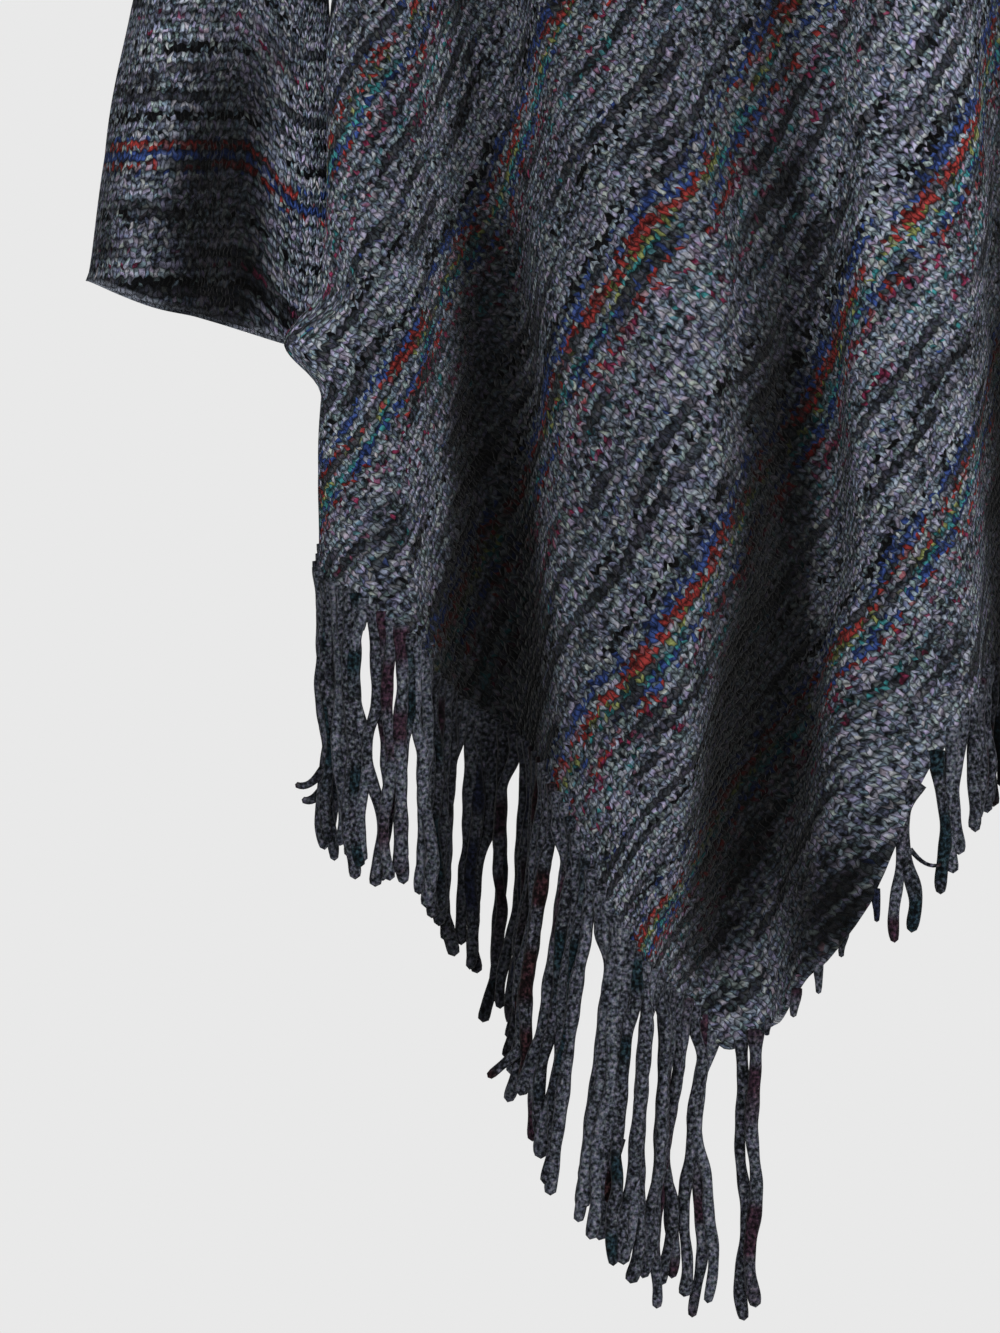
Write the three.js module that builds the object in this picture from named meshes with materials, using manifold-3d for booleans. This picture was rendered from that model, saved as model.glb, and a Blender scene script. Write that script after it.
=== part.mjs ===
// Knitted poncho sweater, worn: front and back panels with a pointed hem, two set-in sleeves,
// a neckband and a fringe of yarn strands. Millimetres, Z up. The wearer faces -Y.
// The origin lies between the shoulders at the level of the neck, where the garment is held up.
import * as THREE from "three";
import Module from "manifold-3d";

const wasm = await Module();
wasm.setup();

// Driving sizes
const CLOTH = 2.4;
const SEAM_GAP = 0.3;
const ARMHOLE_X = 175;
const ARMHOLE_TOP_Z = -42;
const UNDERARM_Z = -235;
const ARMHOLE_HALF_DEPTH = 62;
const NECK_HALF_WIDTH = 75;
const NECK_SIDE_Z = -4;
const SHOULDER_ROUNDING = 95;
// How far the neckline reaches towards the front and back of the shoulders, as a share of their depth.
const FRONT_NECK_REACH = 0.96;
const BACK_NECK_REACH = 0.62;
const NECKBAND_HEIGHT = 20;
const NECKBAND_LEAN = 0.35;
const NECKBAND_GAP = 0.75;
// The section of the body is a rounded box: 1 would make it an ellipse.
const SECTION_SQUARENESS = 0.85;
// The share of a panel's half width past which its folds turn in beside the arm, and then into the side seam.
const ARM_DENT_START = 0.76;
const SEAM_TURN_START = 0.94;
const ARM_FOLD_OVERHANG = 24;
const ARM_FOLD_CLEARANCE = 2;
const DEEPEST_FOLD = 144;

const FRINGE_STRIP = 7;
const FRINGE_EDGE_GAP = 0.45;
const STRAND_WIDTH = 5.4;
const STRAND_SPACING = 9.5;
const STRAND_SIDES = 3;
const STRAND_SWAY = { reach: 1.4, sideways: 1.7, forward: 1.1 };
const STRAND_ROOT_DROP = 1;
// The columns left free of strands at each end of a strip.
const FRINGE_END_MARGIN = 0.018;
const SAME_COLUMN = 1e-6;

// Mesh density
const FRONT_COLUMNS = { shoulder: 20, neck: 7 };
const BACK_COLUMNS = { shoulder: 15, neck: 5 };
const SHOULDER_ROWS = 4;
const HANGING_ROWS = 12;
const SLEEVE_SIDES = 24;
const NECKBAND_ROWS = 2;

// The body at each height: side is where the side seam runs, wide is the widest point of the section,
// front and back are how far the panels stand out, fold is the share of the full fold depth.
const BODY = [
  { z: -900, side: 160, wide: 186, front: 136, back: 120, fold: 1.05 },
  { z: -620, side: 160, wide: 186, front: 132, back: 118, fold: 1 },
  { z: -480, side: 160, wide: 186, front: 128, back: 116, fold: 0.95 },
  { z: -380, side: 160, wide: 185, front: 125, back: 114, fold: 0.8 },
  { z: -300, side: 160, wide: 181, front: 122, back: 112, fold: 0.6 },
  { z: -235, side: 175, wide: 177, front: 118, back: 108, fold: 0.4 },
  { z: -130, side: 175, wide: 175, front: 108, back: 100, fold: 0.12 },
  { z: 0, side: 175, wide: 175, front: 98, back: 92, fold: 0 },
];

// Folds of each panel in plan at full depth, from the right side seam to the left one.
// out is the distance from the garment's middle plane, lean is the drift in X per 100 mm below LEAN_TOP_Z.
const LEAN_TOP_Z = -560;
const HEM_POINT_Z = -778;
const FRONT_FOLDS = [
  { place: "right side seam", x: -160, out: 0, lean: 0 },
  { place: "hollow beside the arm", x: -163, out: 32, lean: 0 },
  { place: "back of the arm fold", x: -177, out: 60, lean: 0 },
  { place: "edge of the arm fold", x: -187, out: 84, lean: 0 },
  { place: "first ridge", x: -170, out: 106, lean: 0 },
  { place: "first ridge", x: -144, out: 109, lean: 0 },
  { place: "first valley", x: -131, out: 90, lean: 0 },
  { place: "first valley", x: -113, out: 68, lean: 2 },
  { place: "first valley", x: -92, out: 80, lean: 1 },
  { place: "second ridge", x: -77, out: 118, lean: 0 },
  { place: "second ridge", x: -40, out: 144, lean: -8 },
  { place: "second ridge", x: -6, out: 139, lean: -16 },
  { place: "second valley", x: 9, out: 116, lean: -18 },
  { place: "second valley", x: 28, out: 98, lean: -18 },
  { place: "second valley", x: 47, out: 112, lean: -16 },
  { place: "third ridge", x: 58, out: 136, lean: -12 },
  { place: "third ridge", x: 86, out: 142, lean: -5 },
  { place: "third ridge", x: 110, out: 126, lean: 0 },
  { place: "third valley", x: 119, out: 94, lean: 0 },
  { place: "third valley", x: 129, out: 74, lean: 0 },
  { place: "third valley", x: 143, out: 84, lean: 0 },
  { place: "fourth ridge", x: 160, out: 106, lean: 0 },
  { place: "edge of the arm fold", x: 186, out: 86, lean: 0 },
  { place: "back of the arm fold", x: 177, out: 60, lean: 0 },
  { place: "hollow beside the arm", x: 163, out: 32, lean: 0 },
  { place: "left side seam", x: 160, out: 0, lean: 0 },
];
const BACK_FOLDS = [
  { place: "right side seam", x: -160, out: 0, lean: 0 },
  { place: "hollow beside the arm", x: -163, out: 30, lean: 0 },
  { place: "edge of the arm fold", x: -184, out: 70, lean: 0 },
  { place: "first ridge", x: -162, out: 98, lean: 0 },
  { place: "first valley", x: -128, out: 84, lean: 0 },
  { place: "first valley", x: -106, out: 78, lean: 3 },
  { place: "second ridge", x: -84, out: 108, lean: 3 },
  { place: "second ridge", x: -44, out: 128, lean: 0 },
  { place: "second valley", x: -14, out: 108, lean: -4 },
  { place: "second valley", x: 8, out: 100, lean: -6 },
  { place: "third ridge", x: 30, out: 122, lean: -6 },
  { place: "third ridge", x: 72, out: 126, lean: 0 },
  { place: "third valley", x: 98, out: 94, lean: 0 },
  { place: "third valley", x: 122, out: 82, lean: 0 },
  { place: "fourth ridge", x: 152, out: 102, lean: 0 },
  { place: "edge of the arm fold", x: 184, out: 72, lean: 0 },
  { place: "hollow beside the arm", x: 163, out: 30, lean: 0 },
  { place: "left side seam", x: 160, out: 0, lean: 0 },
];

// The hem's height and the fringe's length, by the distance along the cloth from the point of the hem:
// minus is towards the wearer's right. lean is how far the strands drift in X for each millimetre of length.
const FRONT_HEM = [
  { along: -404, z: -460, fringe: 104, lean: 0 },
  { along: -363, z: -503, fringe: 68, lean: 0 },
  { along: -340, z: -532, fringe: 100, lean: 0 },
  { along: -318, z: -558, fringe: 124, lean: 0 },
  { along: -281, z: -576, fringe: 124, lean: 0 },
  { along: -239, z: -611, fringe: 112, lean: 0 },
  { along: -198, z: -633, fringe: 122, lean: -0.08 },
  { along: -143, z: -665, fringe: 146, lean: -0.15 },
  { along: -111, z: -706, fringe: 146, lean: -0.16 },
  { along: -74, z: -738, fringe: 138, lean: -0.16 },
  { along: -37, z: -752, fringe: 130, lean: -0.14 },
  { along: -14, z: -763, fringe: 122, lean: -0.11 },
  { along: 0, z: HEM_POINT_Z, fringe: 112, lean: -0.06 },
  { along: 13, z: -770, fringe: 118, lean: 0 },
  { along: 21, z: -763, fringe: 9, lean: 0 },
  { along: 32, z: -754, fringe: 9, lean: 0 },
  { along: 45, z: -735, fringe: 10, lean: 0 },
  { along: 57, z: -709, fringe: 10, lean: 0 },
  { along: 66, z: -676, fringe: 52, lean: 0 },
  { along: 78, z: -645, fringe: 64, lean: 0 },
  { along: 100, z: -617, fringe: 60, lean: 0 },
  { along: 155, z: -598, fringe: 58, lean: 0 },
  { along: 238, z: -558, fringe: 66, lean: 0 },
  { along: 279, z: -503, fringe: 68, lean: 0 },
  { along: 320, z: -460, fringe: 66, lean: 0 },
];
const BACK_HEM = [
  { along: -319, z: -460, fringe: 66, lean: 0 },
  { along: -242, z: -492, fringe: 66, lean: 0 },
  { along: -211, z: -503, fringe: 64, lean: 0 },
  { along: -134, z: -545, fringe: 66, lean: 0 },
  { along: -87, z: -582, fringe: 66, lean: 0 },
  { along: -35, z: -628, fringe: 68, lean: 0 },
  { along: 0, z: -646, fringe: 68, lean: 0 },
  { along: 35, z: -620, fringe: 68, lean: 0 },
  { along: 87, z: -572, fringe: 64, lean: 0 },
  { along: 134, z: -540, fringe: 64, lean: 0 },
  { along: 211, z: -500, fringe: 64, lean: 0 },
  { along: 245, z: -490, fringe: 66, lean: 0 },
  { along: 291, z: -460, fringe: 66, lean: 0 },
];

// The fold over the arm stands out a little further just above the cuff, on the wearer's right.
const ARM_FOLD_BULGE = { z: -452, halfHeight: 26, reach: 11, column: -0.76, halfColumns: 0.12 };

// Rings of the right sleeve, from the armhole to the cuff: its outer and inner line and its half depth.
const SLEEVE_RINGS = [
  { outX: -175.3, outZ: -42, inX: -175.3, inZ: -235, depth: 61.5 },
  { outX: -200, outZ: -56, inX: -180, inZ: -245, depth: 61 },
  { outX: -224.5, outZ: -96, inX: -182, inZ: -264, depth: 60 },
  { outX: -243.5, outZ: -158, inX: -182, inZ: -292, depth: 58 },
  { outX: -259, outZ: -222, inX: -181, inZ: -322, depth: 56 },
  { outX: -270.5, outZ: -275, inX: -180, inZ: -352, depth: 54 },
  { outX: -279.5, outZ: -322, inX: -179, inZ: -384, depth: 53 },
  { outX: -287.5, outZ: -370, inX: -178, inZ: -418, depth: 52 },
  { outX: -294.5, outZ: -424, inX: -178, inZ: -460, depth: 51 },
];
// Hollows pressed into the sleeve round its ring, deepest at the cuff. turn is the angle in degrees
// from the outer line towards the front.
const SLEEVE_HOLLOWS = [
  { turn: 78, halfTurn: 42, depth: 15 },
  { turn: 200, halfTurn: 36, depth: 7 },
  { turn: 285, halfTurn: 40, depth: 9 },
];
// The cuff's edge sags a little between its outer and its inner line.
const CUFF_SAG = { start: 0.6, drop: 6, middle: 0.58, half: 0.42 };
// The hollows start this share of the way down the sleeve and reach their full depth after a further share.
const SLEEVE_HOLLOW_RUN = { start: 0.35, length: 0.55 };

const CLOTH_LOOK = { roughness: 0.95, metalness: 0 };
const COLOURS = { front: 0x55575f, back: 0x4c4e56, sleeve: 0x50545d, neckband: 0x35373d, fringe: 0x3c3e45 };
const DEGREES = 180 / Math.PI;

const mix = (a, b, share) => a + (b - a) * share;
const clamp01 = (value) => Math.min(1, Math.max(0, value));
const soft = (value) => clamp01(value) ** 2 * (3 - 2 * clamp01(value));
const bump = (offset, halfWidth) => soft(1 - Math.abs(offset) / halfWidth);

// A smooth curve through one column of a table, read at a value of its key column.
function readTable(rows, key, column, at) {
  const last = rows.length - 1;
  if (at <= rows[0][key]) return rows[0][column];
  if (at >= rows[last][key]) return rows[last][column];
  let i = 0;
  while (rows[i + 1][key] < at) i += 1;
  const slope = (a, b) => (rows[b][column] - rows[a][column]) / (rows[b][key] - rows[a][key]);
  const before = slope(Math.max(i - 1, 0), i + 1);
  const after = slope(i, Math.min(i + 2, last));
  const span = rows[i + 1][key] - rows[i][key];
  const s = (at - rows[i][key]) / span;
  const start = (1 + 2 * s) * (1 - s) ** 2 * rows[i][column] + s * (1 - s) ** 2 * span * before;
  const end = s * s * (3 - 2 * s) * rows[i + 1][column] + s * s * (s - 1) * span * after;
  return start + end;
}

// Adds to each fold point its column from -1 to 1, its share of the cloth's width along the folds.
function withColumns(folds) {
  const lengths = [0];
  for (let i = 1; i < folds.length; i += 1) {
    const step = Math.hypot(folds[i].x - folds[i - 1].x, folds[i].out - folds[i - 1].out);
    lengths.push(lengths[i - 1] + step);
  }
  const width = lengths[folds.length - 1];
  const rows = folds.map((fold, i) => ({ ...fold, column: (2 * lengths[i]) / width - 1 }));
  return { rows, width };
}

// The columns at which the neckline meets the shoulder seams.
const NECK_COLUMN = (2 / Math.PI) * Math.asin((NECK_HALF_WIDTH / ARMHOLE_X) ** (1 / SECTION_SQUARENESS));

// Columns run from the right seam to the left one, with one on each end of the neckline and one on the
// hem's point.
function columnsBetween(ends, counts) {
  const columns = [ends[0]];
  counts.forEach((count, span) => {
    for (let i = 1; i <= count; i += 1) columns.push(mix(ends[span], ends[span + 1], i / count));
  });
  return columns;
}

function makePanel(facing, depthColumn, folds, hem, neckReach, bulge, counts) {
  const { rows, width } = withColumns(folds);
  const xAtPoint = (row) => row.x + (row.lean * (LEAN_TOP_Z - HEM_POINT_Z)) / 100;
  const middle = rows.findIndex((row) => xAtPoint(row) >= 0);
  const [left, right] = [rows[middle - 1], rows[middle]];
  const share = -xAtPoint(left) / (xAtPoint(right) - xAtPoint(left));
  const tipColumn = mix(left.column, right.column, share);
  const ends = [-1, -NECK_COLUMN, tipColumn, NECK_COLUMN, 1];
  const columns = columnsBetween(ends, [counts.shoulder, counts.neck, counts.neck, counts.shoulder]);
  return { facing, depthColumn, rows, width, hem, neckReach, tipColumn, bulge, columns };
}

const FRONT = makePanel(-1, "front", FRONT_FOLDS, FRONT_HEM, FRONT_NECK_REACH, ARM_FOLD_BULGE, FRONT_COLUMNS);
const BACK = makePanel(1, "back", BACK_FOLDS, BACK_HEM, BACK_NECK_REACH, null, BACK_COLUMNS);

function alongHem(panel, column) {
  return ((column - panel.tipColumn) * panel.width) / 2;
}

function hemZ(panel, column) {
  return readTable(panel.hem, "along", "z", alongHem(panel, column));
}

// Where a column of the cloth lies across the shoulders.
function shoulderX(column) {
  const turn = (column * Math.PI) / 2;
  return ARMHOLE_X * Math.sign(turn) * Math.abs(Math.sin(turn)) ** SECTION_SQUARENESS;
}

function shoulderZ(column) {
  const slope = (ARMHOLE_TOP_Z - NECK_SIDE_Z) / (ARMHOLE_X - NECK_HALF_WIDTH);
  return NECK_SIDE_Z + slope * Math.max(0, Math.abs(shoulderX(column)) - NECK_HALF_WIDTH);
}

// The top of the cloth: the shoulder seam, or the neckline between the shoulders.
function topZ(panel, column) {
  const across = Math.min(1, Math.abs(shoulderX(column)) / NECK_HALF_WIDTH);
  const reach = panel.neckReach ** 2 * (1 - across * across);
  return shoulderZ(column) - SHOULDER_ROUNDING * (1 - Math.sqrt(1 - reach));
}

function armholeDepth(z) {
  const down = (ARMHOLE_TOP_Z - z) / (ARMHOLE_TOP_Z - UNDERARM_Z);
  if (down <= 0 || down >= 1) return 0;
  return ARMHOLE_HALF_DEPTH * Math.sqrt(1 - (2 * down - 1) ** 2);
}

// A point of the panel's outer face: column runs across the cloth from -1 to 1, z is its height.
function panelPoint(panel, column, z) {
  const level = (name) => readTable(BODY, "z", name, z);
  const turn = (column * Math.PI) / 2;
  const below = clamp01((shoulderZ(column) - z) / SHOULDER_ROUNDING);
  const rounding = Math.sqrt(1 - (1 - below) ** 2);
  const seam = armholeDepth(z);
  const fold = level("fold");

  const dent = soft((Math.abs(column) - ARM_DENT_START) / (1 - ARM_DENT_START));
  const reach = Math.abs(Math.sin(turn)) ** SECTION_SQUARENESS;
  const smoothX = Math.sign(column) * (level("wide") * reach - (level("wide") - level("side")) * dent);
  const depth = level(panel.depthColumn) * rounding;
  const smoothOut = seam + Math.max(0, depth - seam) * Math.abs(Math.cos(turn)) ** SECTION_SQUARENESS;

  const drop = Math.max(0, LEAN_TOP_Z - z) / 100;
  const lean = readTable(panel.rows, "column", "lean", column) * drop;
  const atSeam = soft((Math.abs(column) - SEAM_TURN_START) / (1 - SEAM_TURN_START));
  const leantX = readTable(panel.rows, "column", "x", column) + lean;
  const foldX = mix(leantX, Math.sign(column) * level("side"), atSeam);
  const foldOut = seam + readTable(panel.rows, "column", "out", column) * rounding * (1 - seam / DEEPEST_FOLD);

  let x = mix(smoothX, foldX, fold);
  const out = mix(smoothOut, foldOut, fold);
  if (panel.bulge) {
    const near = bump(z - panel.bulge.z, panel.bulge.halfHeight);
    x -= panel.bulge.reach * near * bump(column - panel.bulge.column, panel.bulge.halfColumns);
  }
  if (z > UNDERARM_Z) {
    const past = out - ARMHOLE_HALF_DEPTH - ARM_FOLD_CLEARANCE;
    const limit = ARMHOLE_X + ARM_FOLD_OVERHANG * soft(past / ARM_FOLD_OVERHANG);
    x = Math.sign(x) * Math.min(Math.abs(x), limit);
  }
  return new THREE.Vector3(x, panel.facing * Math.max(out, SEAM_GAP / 2), z);
}

// How much longer the hem is here than its plan: a strip of even width is this much taller.
function hemSteepness(panel, column) {
  const step = 1 / panel.width;
  const [before, after] = [column - step, column + step].map((at) => panelPoint(panel, at, hemZ(panel, at)));
  const run = after.sub(before);
  return run.length() / Math.hypot(run.x, run.y);
}

// The height of a row of a panel: the first rows go over the shoulder, the rest hang to the hem.
function rowZ(panel, column, row) {
  const top = topZ(panel, column);
  const shoulder = shoulderZ(column);
  const topTurn = Math.acos(clamp01(1 - (shoulder - top) / SHOULDER_ROUNDING));
  if (row <= SHOULDER_ROWS) {
    const turn = mix(topTurn, Math.PI / 2, row / SHOULDER_ROWS);
    return shoulder - SHOULDER_ROUNDING * (1 - Math.cos(turn));
  }
  const share = (row - SHOULDER_ROWS) / HANGING_ROWS;
  return mix(shoulder - SHOULDER_ROUNDING, hemZ(panel, column), share);
}

function meshOf(positions, triangles) {
  const geometry = new THREE.BufferGeometry();
  geometry.setAttribute("position", new THREE.Float32BufferAttribute(positions.flatMap((p) => p.toArray()), 3));
  geometry.setIndex(triangles);
  return geometry;
}

// Mean direction square to the grid at each of its points; a closed grid joins its last column to its first.
function gridNormals(grid, closed) {
  const columns = grid[0].length;
  const pick = (row, column) => {
    const r = Math.min(Math.max(row, 0), grid.length - 1);
    const c = closed ? (column + columns) % columns : Math.min(Math.max(column, 0), columns - 1);
    return grid[r][c];
  };
  return grid.map((line, r) =>
    line.map((_, c) => {
      const across = pick(r, c + 1).clone().sub(pick(r, c - 1));
      const down = pick(r + 1, c).clone().sub(pick(r - 1, c));
      return down.cross(across).normalize();
    }),
  );
}

// A wall of cloth as one closed body: the outer grid, the same grid moved in by its thickness, and the edges.
function wallOf(outer, inner, closed) {
  const rows = outer.length;
  const columns = outer[0].length;
  const positions = [...outer.flat(), ...inner.flat()];
  const inside = rows * columns;
  const triangles = [];
  const quad = (a, b, c, d) => triangles.push(a, b, c, a, c, d);
  const spans = closed ? columns : columns - 1;
  for (let r = 0; r < rows - 1; r += 1) {
    for (let c = 0; c < spans; c += 1) {
      const next = (c + 1) % columns;
      const [a, b] = [r * columns + c, r * columns + next];
      const [d, e] = [a + columns, b + columns];
      quad(a, d, e, b);
      quad(inside + a, inside + b, inside + e, inside + d);
    }
  }
  for (let c = 0; c < spans; c += 1) {
    const next = (c + 1) % columns;
    const bottom = (rows - 1) * columns;
    quad(c, next, inside + next, inside + c);
    quad(bottom + c, inside + bottom + c, inside + bottom + next, bottom + next);
  }
  if (!closed) {
    for (let r = 0; r < rows - 1; r += 1) {
      const [left, leftBelow] = [r * columns, (r + 1) * columns];
      const [right, rightBelow] = [left + columns - 1, leftBelow + columns - 1];
      quad(left, inside + left, inside + leftBelow, leftBelow);
      quad(right, rightBelow, inside + rightBelow, inside + right);
    }
  }
  return meshOf(positions, triangles);
}

// Moves each point in by the cloth's thickness. At a seam in the middle plane it stays in that plane.
function innerGrid(outer, normals) {
  return outer.map((line, r) =>
    line.map((point, c) => {
      const normal = normals[r][c].clone();
      if (Math.abs(point.y) < SEAM_GAP) normal.y = 0;
      return point.clone().addScaledVector(normal.normalize(), -CLOTH);
    }),
  );
}

// Columns go left to right as seen from outside, so that the faces point outward.
function facingOut(panel, columns) {
  return panel.facing < 0 ? columns : [...columns].reverse();
}

function panelGrid(panel, columns) {
  const outer = [];
  for (let row = 0; row <= SHOULDER_ROWS + HANGING_ROWS; row += 1) {
    outer.push(columns.map((column) => panelPoint(panel, column, rowZ(panel, column, row))));
  }
  return { outer, normals: gridNormals(outer, false) };
}

function panelWall(panel) {
  const { outer, normals } = panelGrid(panel, facingOut(panel, panel.columns));
  return wallOf(outer, innerGrid(outer, normals), false);
}

// The neckband stands on the neckline of both panels and leans in towards the neck.
function neckband() {
  const edges = [];
  for (const panel of [FRONT, BACK]) {
    const onNeck = panel.columns.filter((column) => Math.abs(column) <= NECK_COLUMN + SAME_COLUMN);
    for (const column of facingOut(panel, onNeck).slice(0, -1)) {
      const edge = panelPoint(panel, column, topZ(panel, column));
      const below = panelPoint(panel, column, rowZ(panel, column, 1));
      const away = edge.clone().sub(below).normalize();
      const inward = new THREE.Vector3(-edge.x, -edge.y, 0).normalize();
      const foot = edge.addScaledVector(away, NECKBAND_GAP).addScaledVector(inward, NECKBAND_GAP);
      edges.push({ foot, inward });
    }
  }
  const grids = [0, CLOTH].map((depth) =>
    Array.from({ length: NECKBAND_ROWS + 1 }, (_, row) =>
      edges.map(({ foot, inward }) => {
        const rise = new THREE.Vector3(0, 0, 1).addScaledVector(inward, NECKBAND_LEAN).normalize();
        const height = NECKBAND_HEIGHT * (1 - row / NECKBAND_ROWS);
        return foot.clone().addScaledVector(rise, height).addScaledVector(inward, depth);
      }),
    ),
  );
  return wallOf(grids[0], grids[1], true);
}

// The right sleeve's outer face; share runs from the armhole to the cuff, turn round the arm.
function sleevePoint(share, turn) {
  const place = share * (SLEEVE_RINGS.length - 1);
  const rings = SLEEVE_RINGS.map((ring, number) => ({ ...ring, number }));
  const read = (name) => readTable(rings, "number", name, place);
  const middle = new THREE.Vector3((read("outX") + read("inX")) / 2, 0, (read("outZ") + read("inZ")) / 2);
  const outward = new THREE.Vector3(read("outX"), 0, read("outZ")).sub(middle);
  const offset = outward.multiplyScalar(Math.cos(turn));
  offset.y = -read("depth") * Math.sin(turn);
  const deepening = soft((share - SLEEVE_HOLLOW_RUN.start) / SLEEVE_HOLLOW_RUN.length);
  let pressed = 0;
  for (const hollow of SLEEVE_HOLLOWS) {
    const past = Math.abs(turn * DEGREES - hollow.turn);
    const away = Math.min(past, 360 - past);
    pressed += hollow.depth * bump(away, hollow.halfTurn) * deepening;
  }
  const keep = 1 - pressed / offset.length();
  const sag = soft((share - CUFF_SAG.start) / (1 - CUFF_SAG.start));
  middle.z -= CUFF_SAG.drop * sag * bump(Math.cos(turn) - CUFF_SAG.middle, CUFF_SAG.half);
  return middle.addScaledVector(offset, keep);
}

function sleeveWall(mirror) {
  const last = SLEEVE_RINGS.length - 1;
  const outer = [];
  for (let ring = 0; ring <= last; ring += 1) {
    const line = [];
    for (let side = 0; side < SLEEVE_SIDES; side += 1) {
      const point = sleevePoint(ring / last, (side / SLEEVE_SIDES) * 2 * Math.PI);
      point.x *= mirror;
      line.push(point);
    }
    if (mirror < 0) line.reverse();
    outer.push(line);
  }
  const normals = gridNormals(outer, true);
  const inner = outer.map((line, r) =>
    line.map((point, c) => {
      const normal = normals[r][c].clone();
      if (r === 0) normal.x = 0;
      return point.clone().addScaledVector(normal.normalize(), -CLOTH);
    }),
  );
  return wallOf(outer, inner, true);
}

// A strand hangs from its root, not quite plumb, and has a triangular section.
function strandGeometry(root, length, lean, number) {
  const sway = STRAND_SWAY.reach * Math.sin(number * STRAND_SWAY.sideways);
  const forward = STRAND_SWAY.reach * Math.cos(number * STRAND_SWAY.forward);
  const radius = STRAND_WIDTH / 2;
  const positions = [];
  for (const level of [0, 1]) {
    for (let side = 0; side < STRAND_SIDES; side += 1) {
      const turn = (side / STRAND_SIDES) * 2 * Math.PI + number;
      const x = root.x + (sway + lean * length) * level + radius * Math.cos(turn);
      const y = root.y + forward * level + radius * Math.sin(turn);
      positions.push(new THREE.Vector3(x, y, root.z - length * level));
    }
  }
  const triangles = [0, 1, 2, 3, 5, 4];
  for (let side = 0; side < STRAND_SIDES; side += 1) {
    const next = (side + 1) % STRAND_SIDES;
    triangles.push(side, side + STRAND_SIDES, next + STRAND_SIDES, side, next + STRAND_SIDES, next);
  }
  return meshOf(positions, triangles);
}

function solidOf(geometry) {
  const vertProperties = Float32Array.from(geometry.getAttribute("position").array);
  const triVerts = Uint32Array.from(geometry.getIndex().array);
  return new wasm.Manifold(new wasm.Mesh({ numProp: 3, vertProperties, triVerts }));
}

function geometryOf(solid) {
  const { vertProperties, triVerts } = solid.getMesh();
  const geometry = new THREE.BufferGeometry();
  geometry.setAttribute("position", new THREE.Float32BufferAttribute(vertProperties, 3));
  geometry.setIndex(new THREE.BufferAttribute(triVerts, 1));
  return geometry;
}

// The fringe of one half of a hem: strands whose roots join a narrow strip just below the cloth's edge.
// The strip has the panel's own columns and turns with its edge, so it stays parallel to it.
function fringe(panel, from, to) {
  const halfGap = SEAM_GAP / panel.width;
  const all = facingOut(panel, panel.columns);
  const belongs = (column) => column >= from - SAME_COLUMN && column <= to + SAME_COLUMN;
  const ordered = all.filter(belongs);
  const { normals } = panelGrid(panel, all);
  const hemNormals = normals[normals.length - 1].filter((_, i) => belongs(all[i]));
  const strip = [FRINGE_EDGE_GAP, FRINGE_STRIP].map((drop) =>
    ordered.map((column) => {
      const atPoint = Math.abs(column - panel.tipColumn) < SAME_COLUMN;
      const inside = atPoint ? column + (to > column ? halfGap : -halfGap) : column;
      return panelPoint(panel, inside, hemZ(panel, column) - drop * hemSteepness(panel, column));
    }),
  );
  const parts = [solidOf(wallOf(strip, innerGrid(strip, [hemNormals, hemNormals]), false))];
  const count = Math.floor(((to - from) * panel.width) / 2 / STRAND_SPACING);
  for (let number = 0; number < count; number += 1) {
    const column = mix(from + FRINGE_END_MARGIN, to - FRINGE_END_MARGIN, number / (count - 1));
    const rootDrop = (FRINGE_STRIP * hemSteepness(panel, column)) / 2 + STRAND_ROOT_DROP;
    const root = panelPoint(panel, column, hemZ(panel, column) - rootDrop);
    const beside = panelPoint(panel, column + halfGap, root.z).sub(root).normalize();
    const inward = new THREE.Vector3(-beside.y, beside.x, 0).multiplyScalar(-panel.facing);
    root.addScaledVector(inward, CLOTH / 2);
    const length = readTable(panel.hem, "along", "fringe", alongHem(panel, column));
    const lean = readTable(panel.hem, "along", "lean", alongHem(panel, column));
    parts.push(solidOf(strandGeometry(root, length, lean, number)));
  }
  const bodies = wasm.Manifold.union(parts).decompose();
  const whole = bodies.reduce((most, body) => (body.volume() > most.volume() ? body : most));
  return geometryOf(whole);
}

const garment = new THREE.Group();

function addPiece(name, geometry, color) {
  const piece = new THREE.Mesh(geometry, new THREE.MeshStandardMaterial({ color, ...CLOTH_LOOK }));
  piece.name = name;
  garment.add(piece);
}

addPiece("front_panel", panelWall(FRONT), COLOURS.front);
addPiece("back_panel", panelWall(BACK), COLOURS.back);
addPiece("sleeve_right", sleeveWall(1), COLOURS.sleeve);
addPiece("sleeve_left", sleeveWall(-1), COLOURS.sleeve);
addPiece("neckband", neckband(), COLOURS.neckband);
addPiece("fringe_front_right", fringe(FRONT, -1, FRONT.tipColumn), COLOURS.fringe);
addPiece("fringe_front_left", fringe(FRONT, FRONT.tipColumn, 1), COLOURS.fringe);
addPiece("fringe_back_right", fringe(BACK, -1, BACK.tipColumn), COLOURS.fringe);
addPiece("fringe_back_left", fringe(BACK, BACK.tipColumn, 1), COLOURS.fringe);

export default garment;
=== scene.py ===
"""Knitted poncho sweater, worn: the look of its cloth, ribs and fringe over the plain solids.

The fine cloth follows the same tables as the solids, in millimetres, and is placed in metres.
"""
import math

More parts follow.
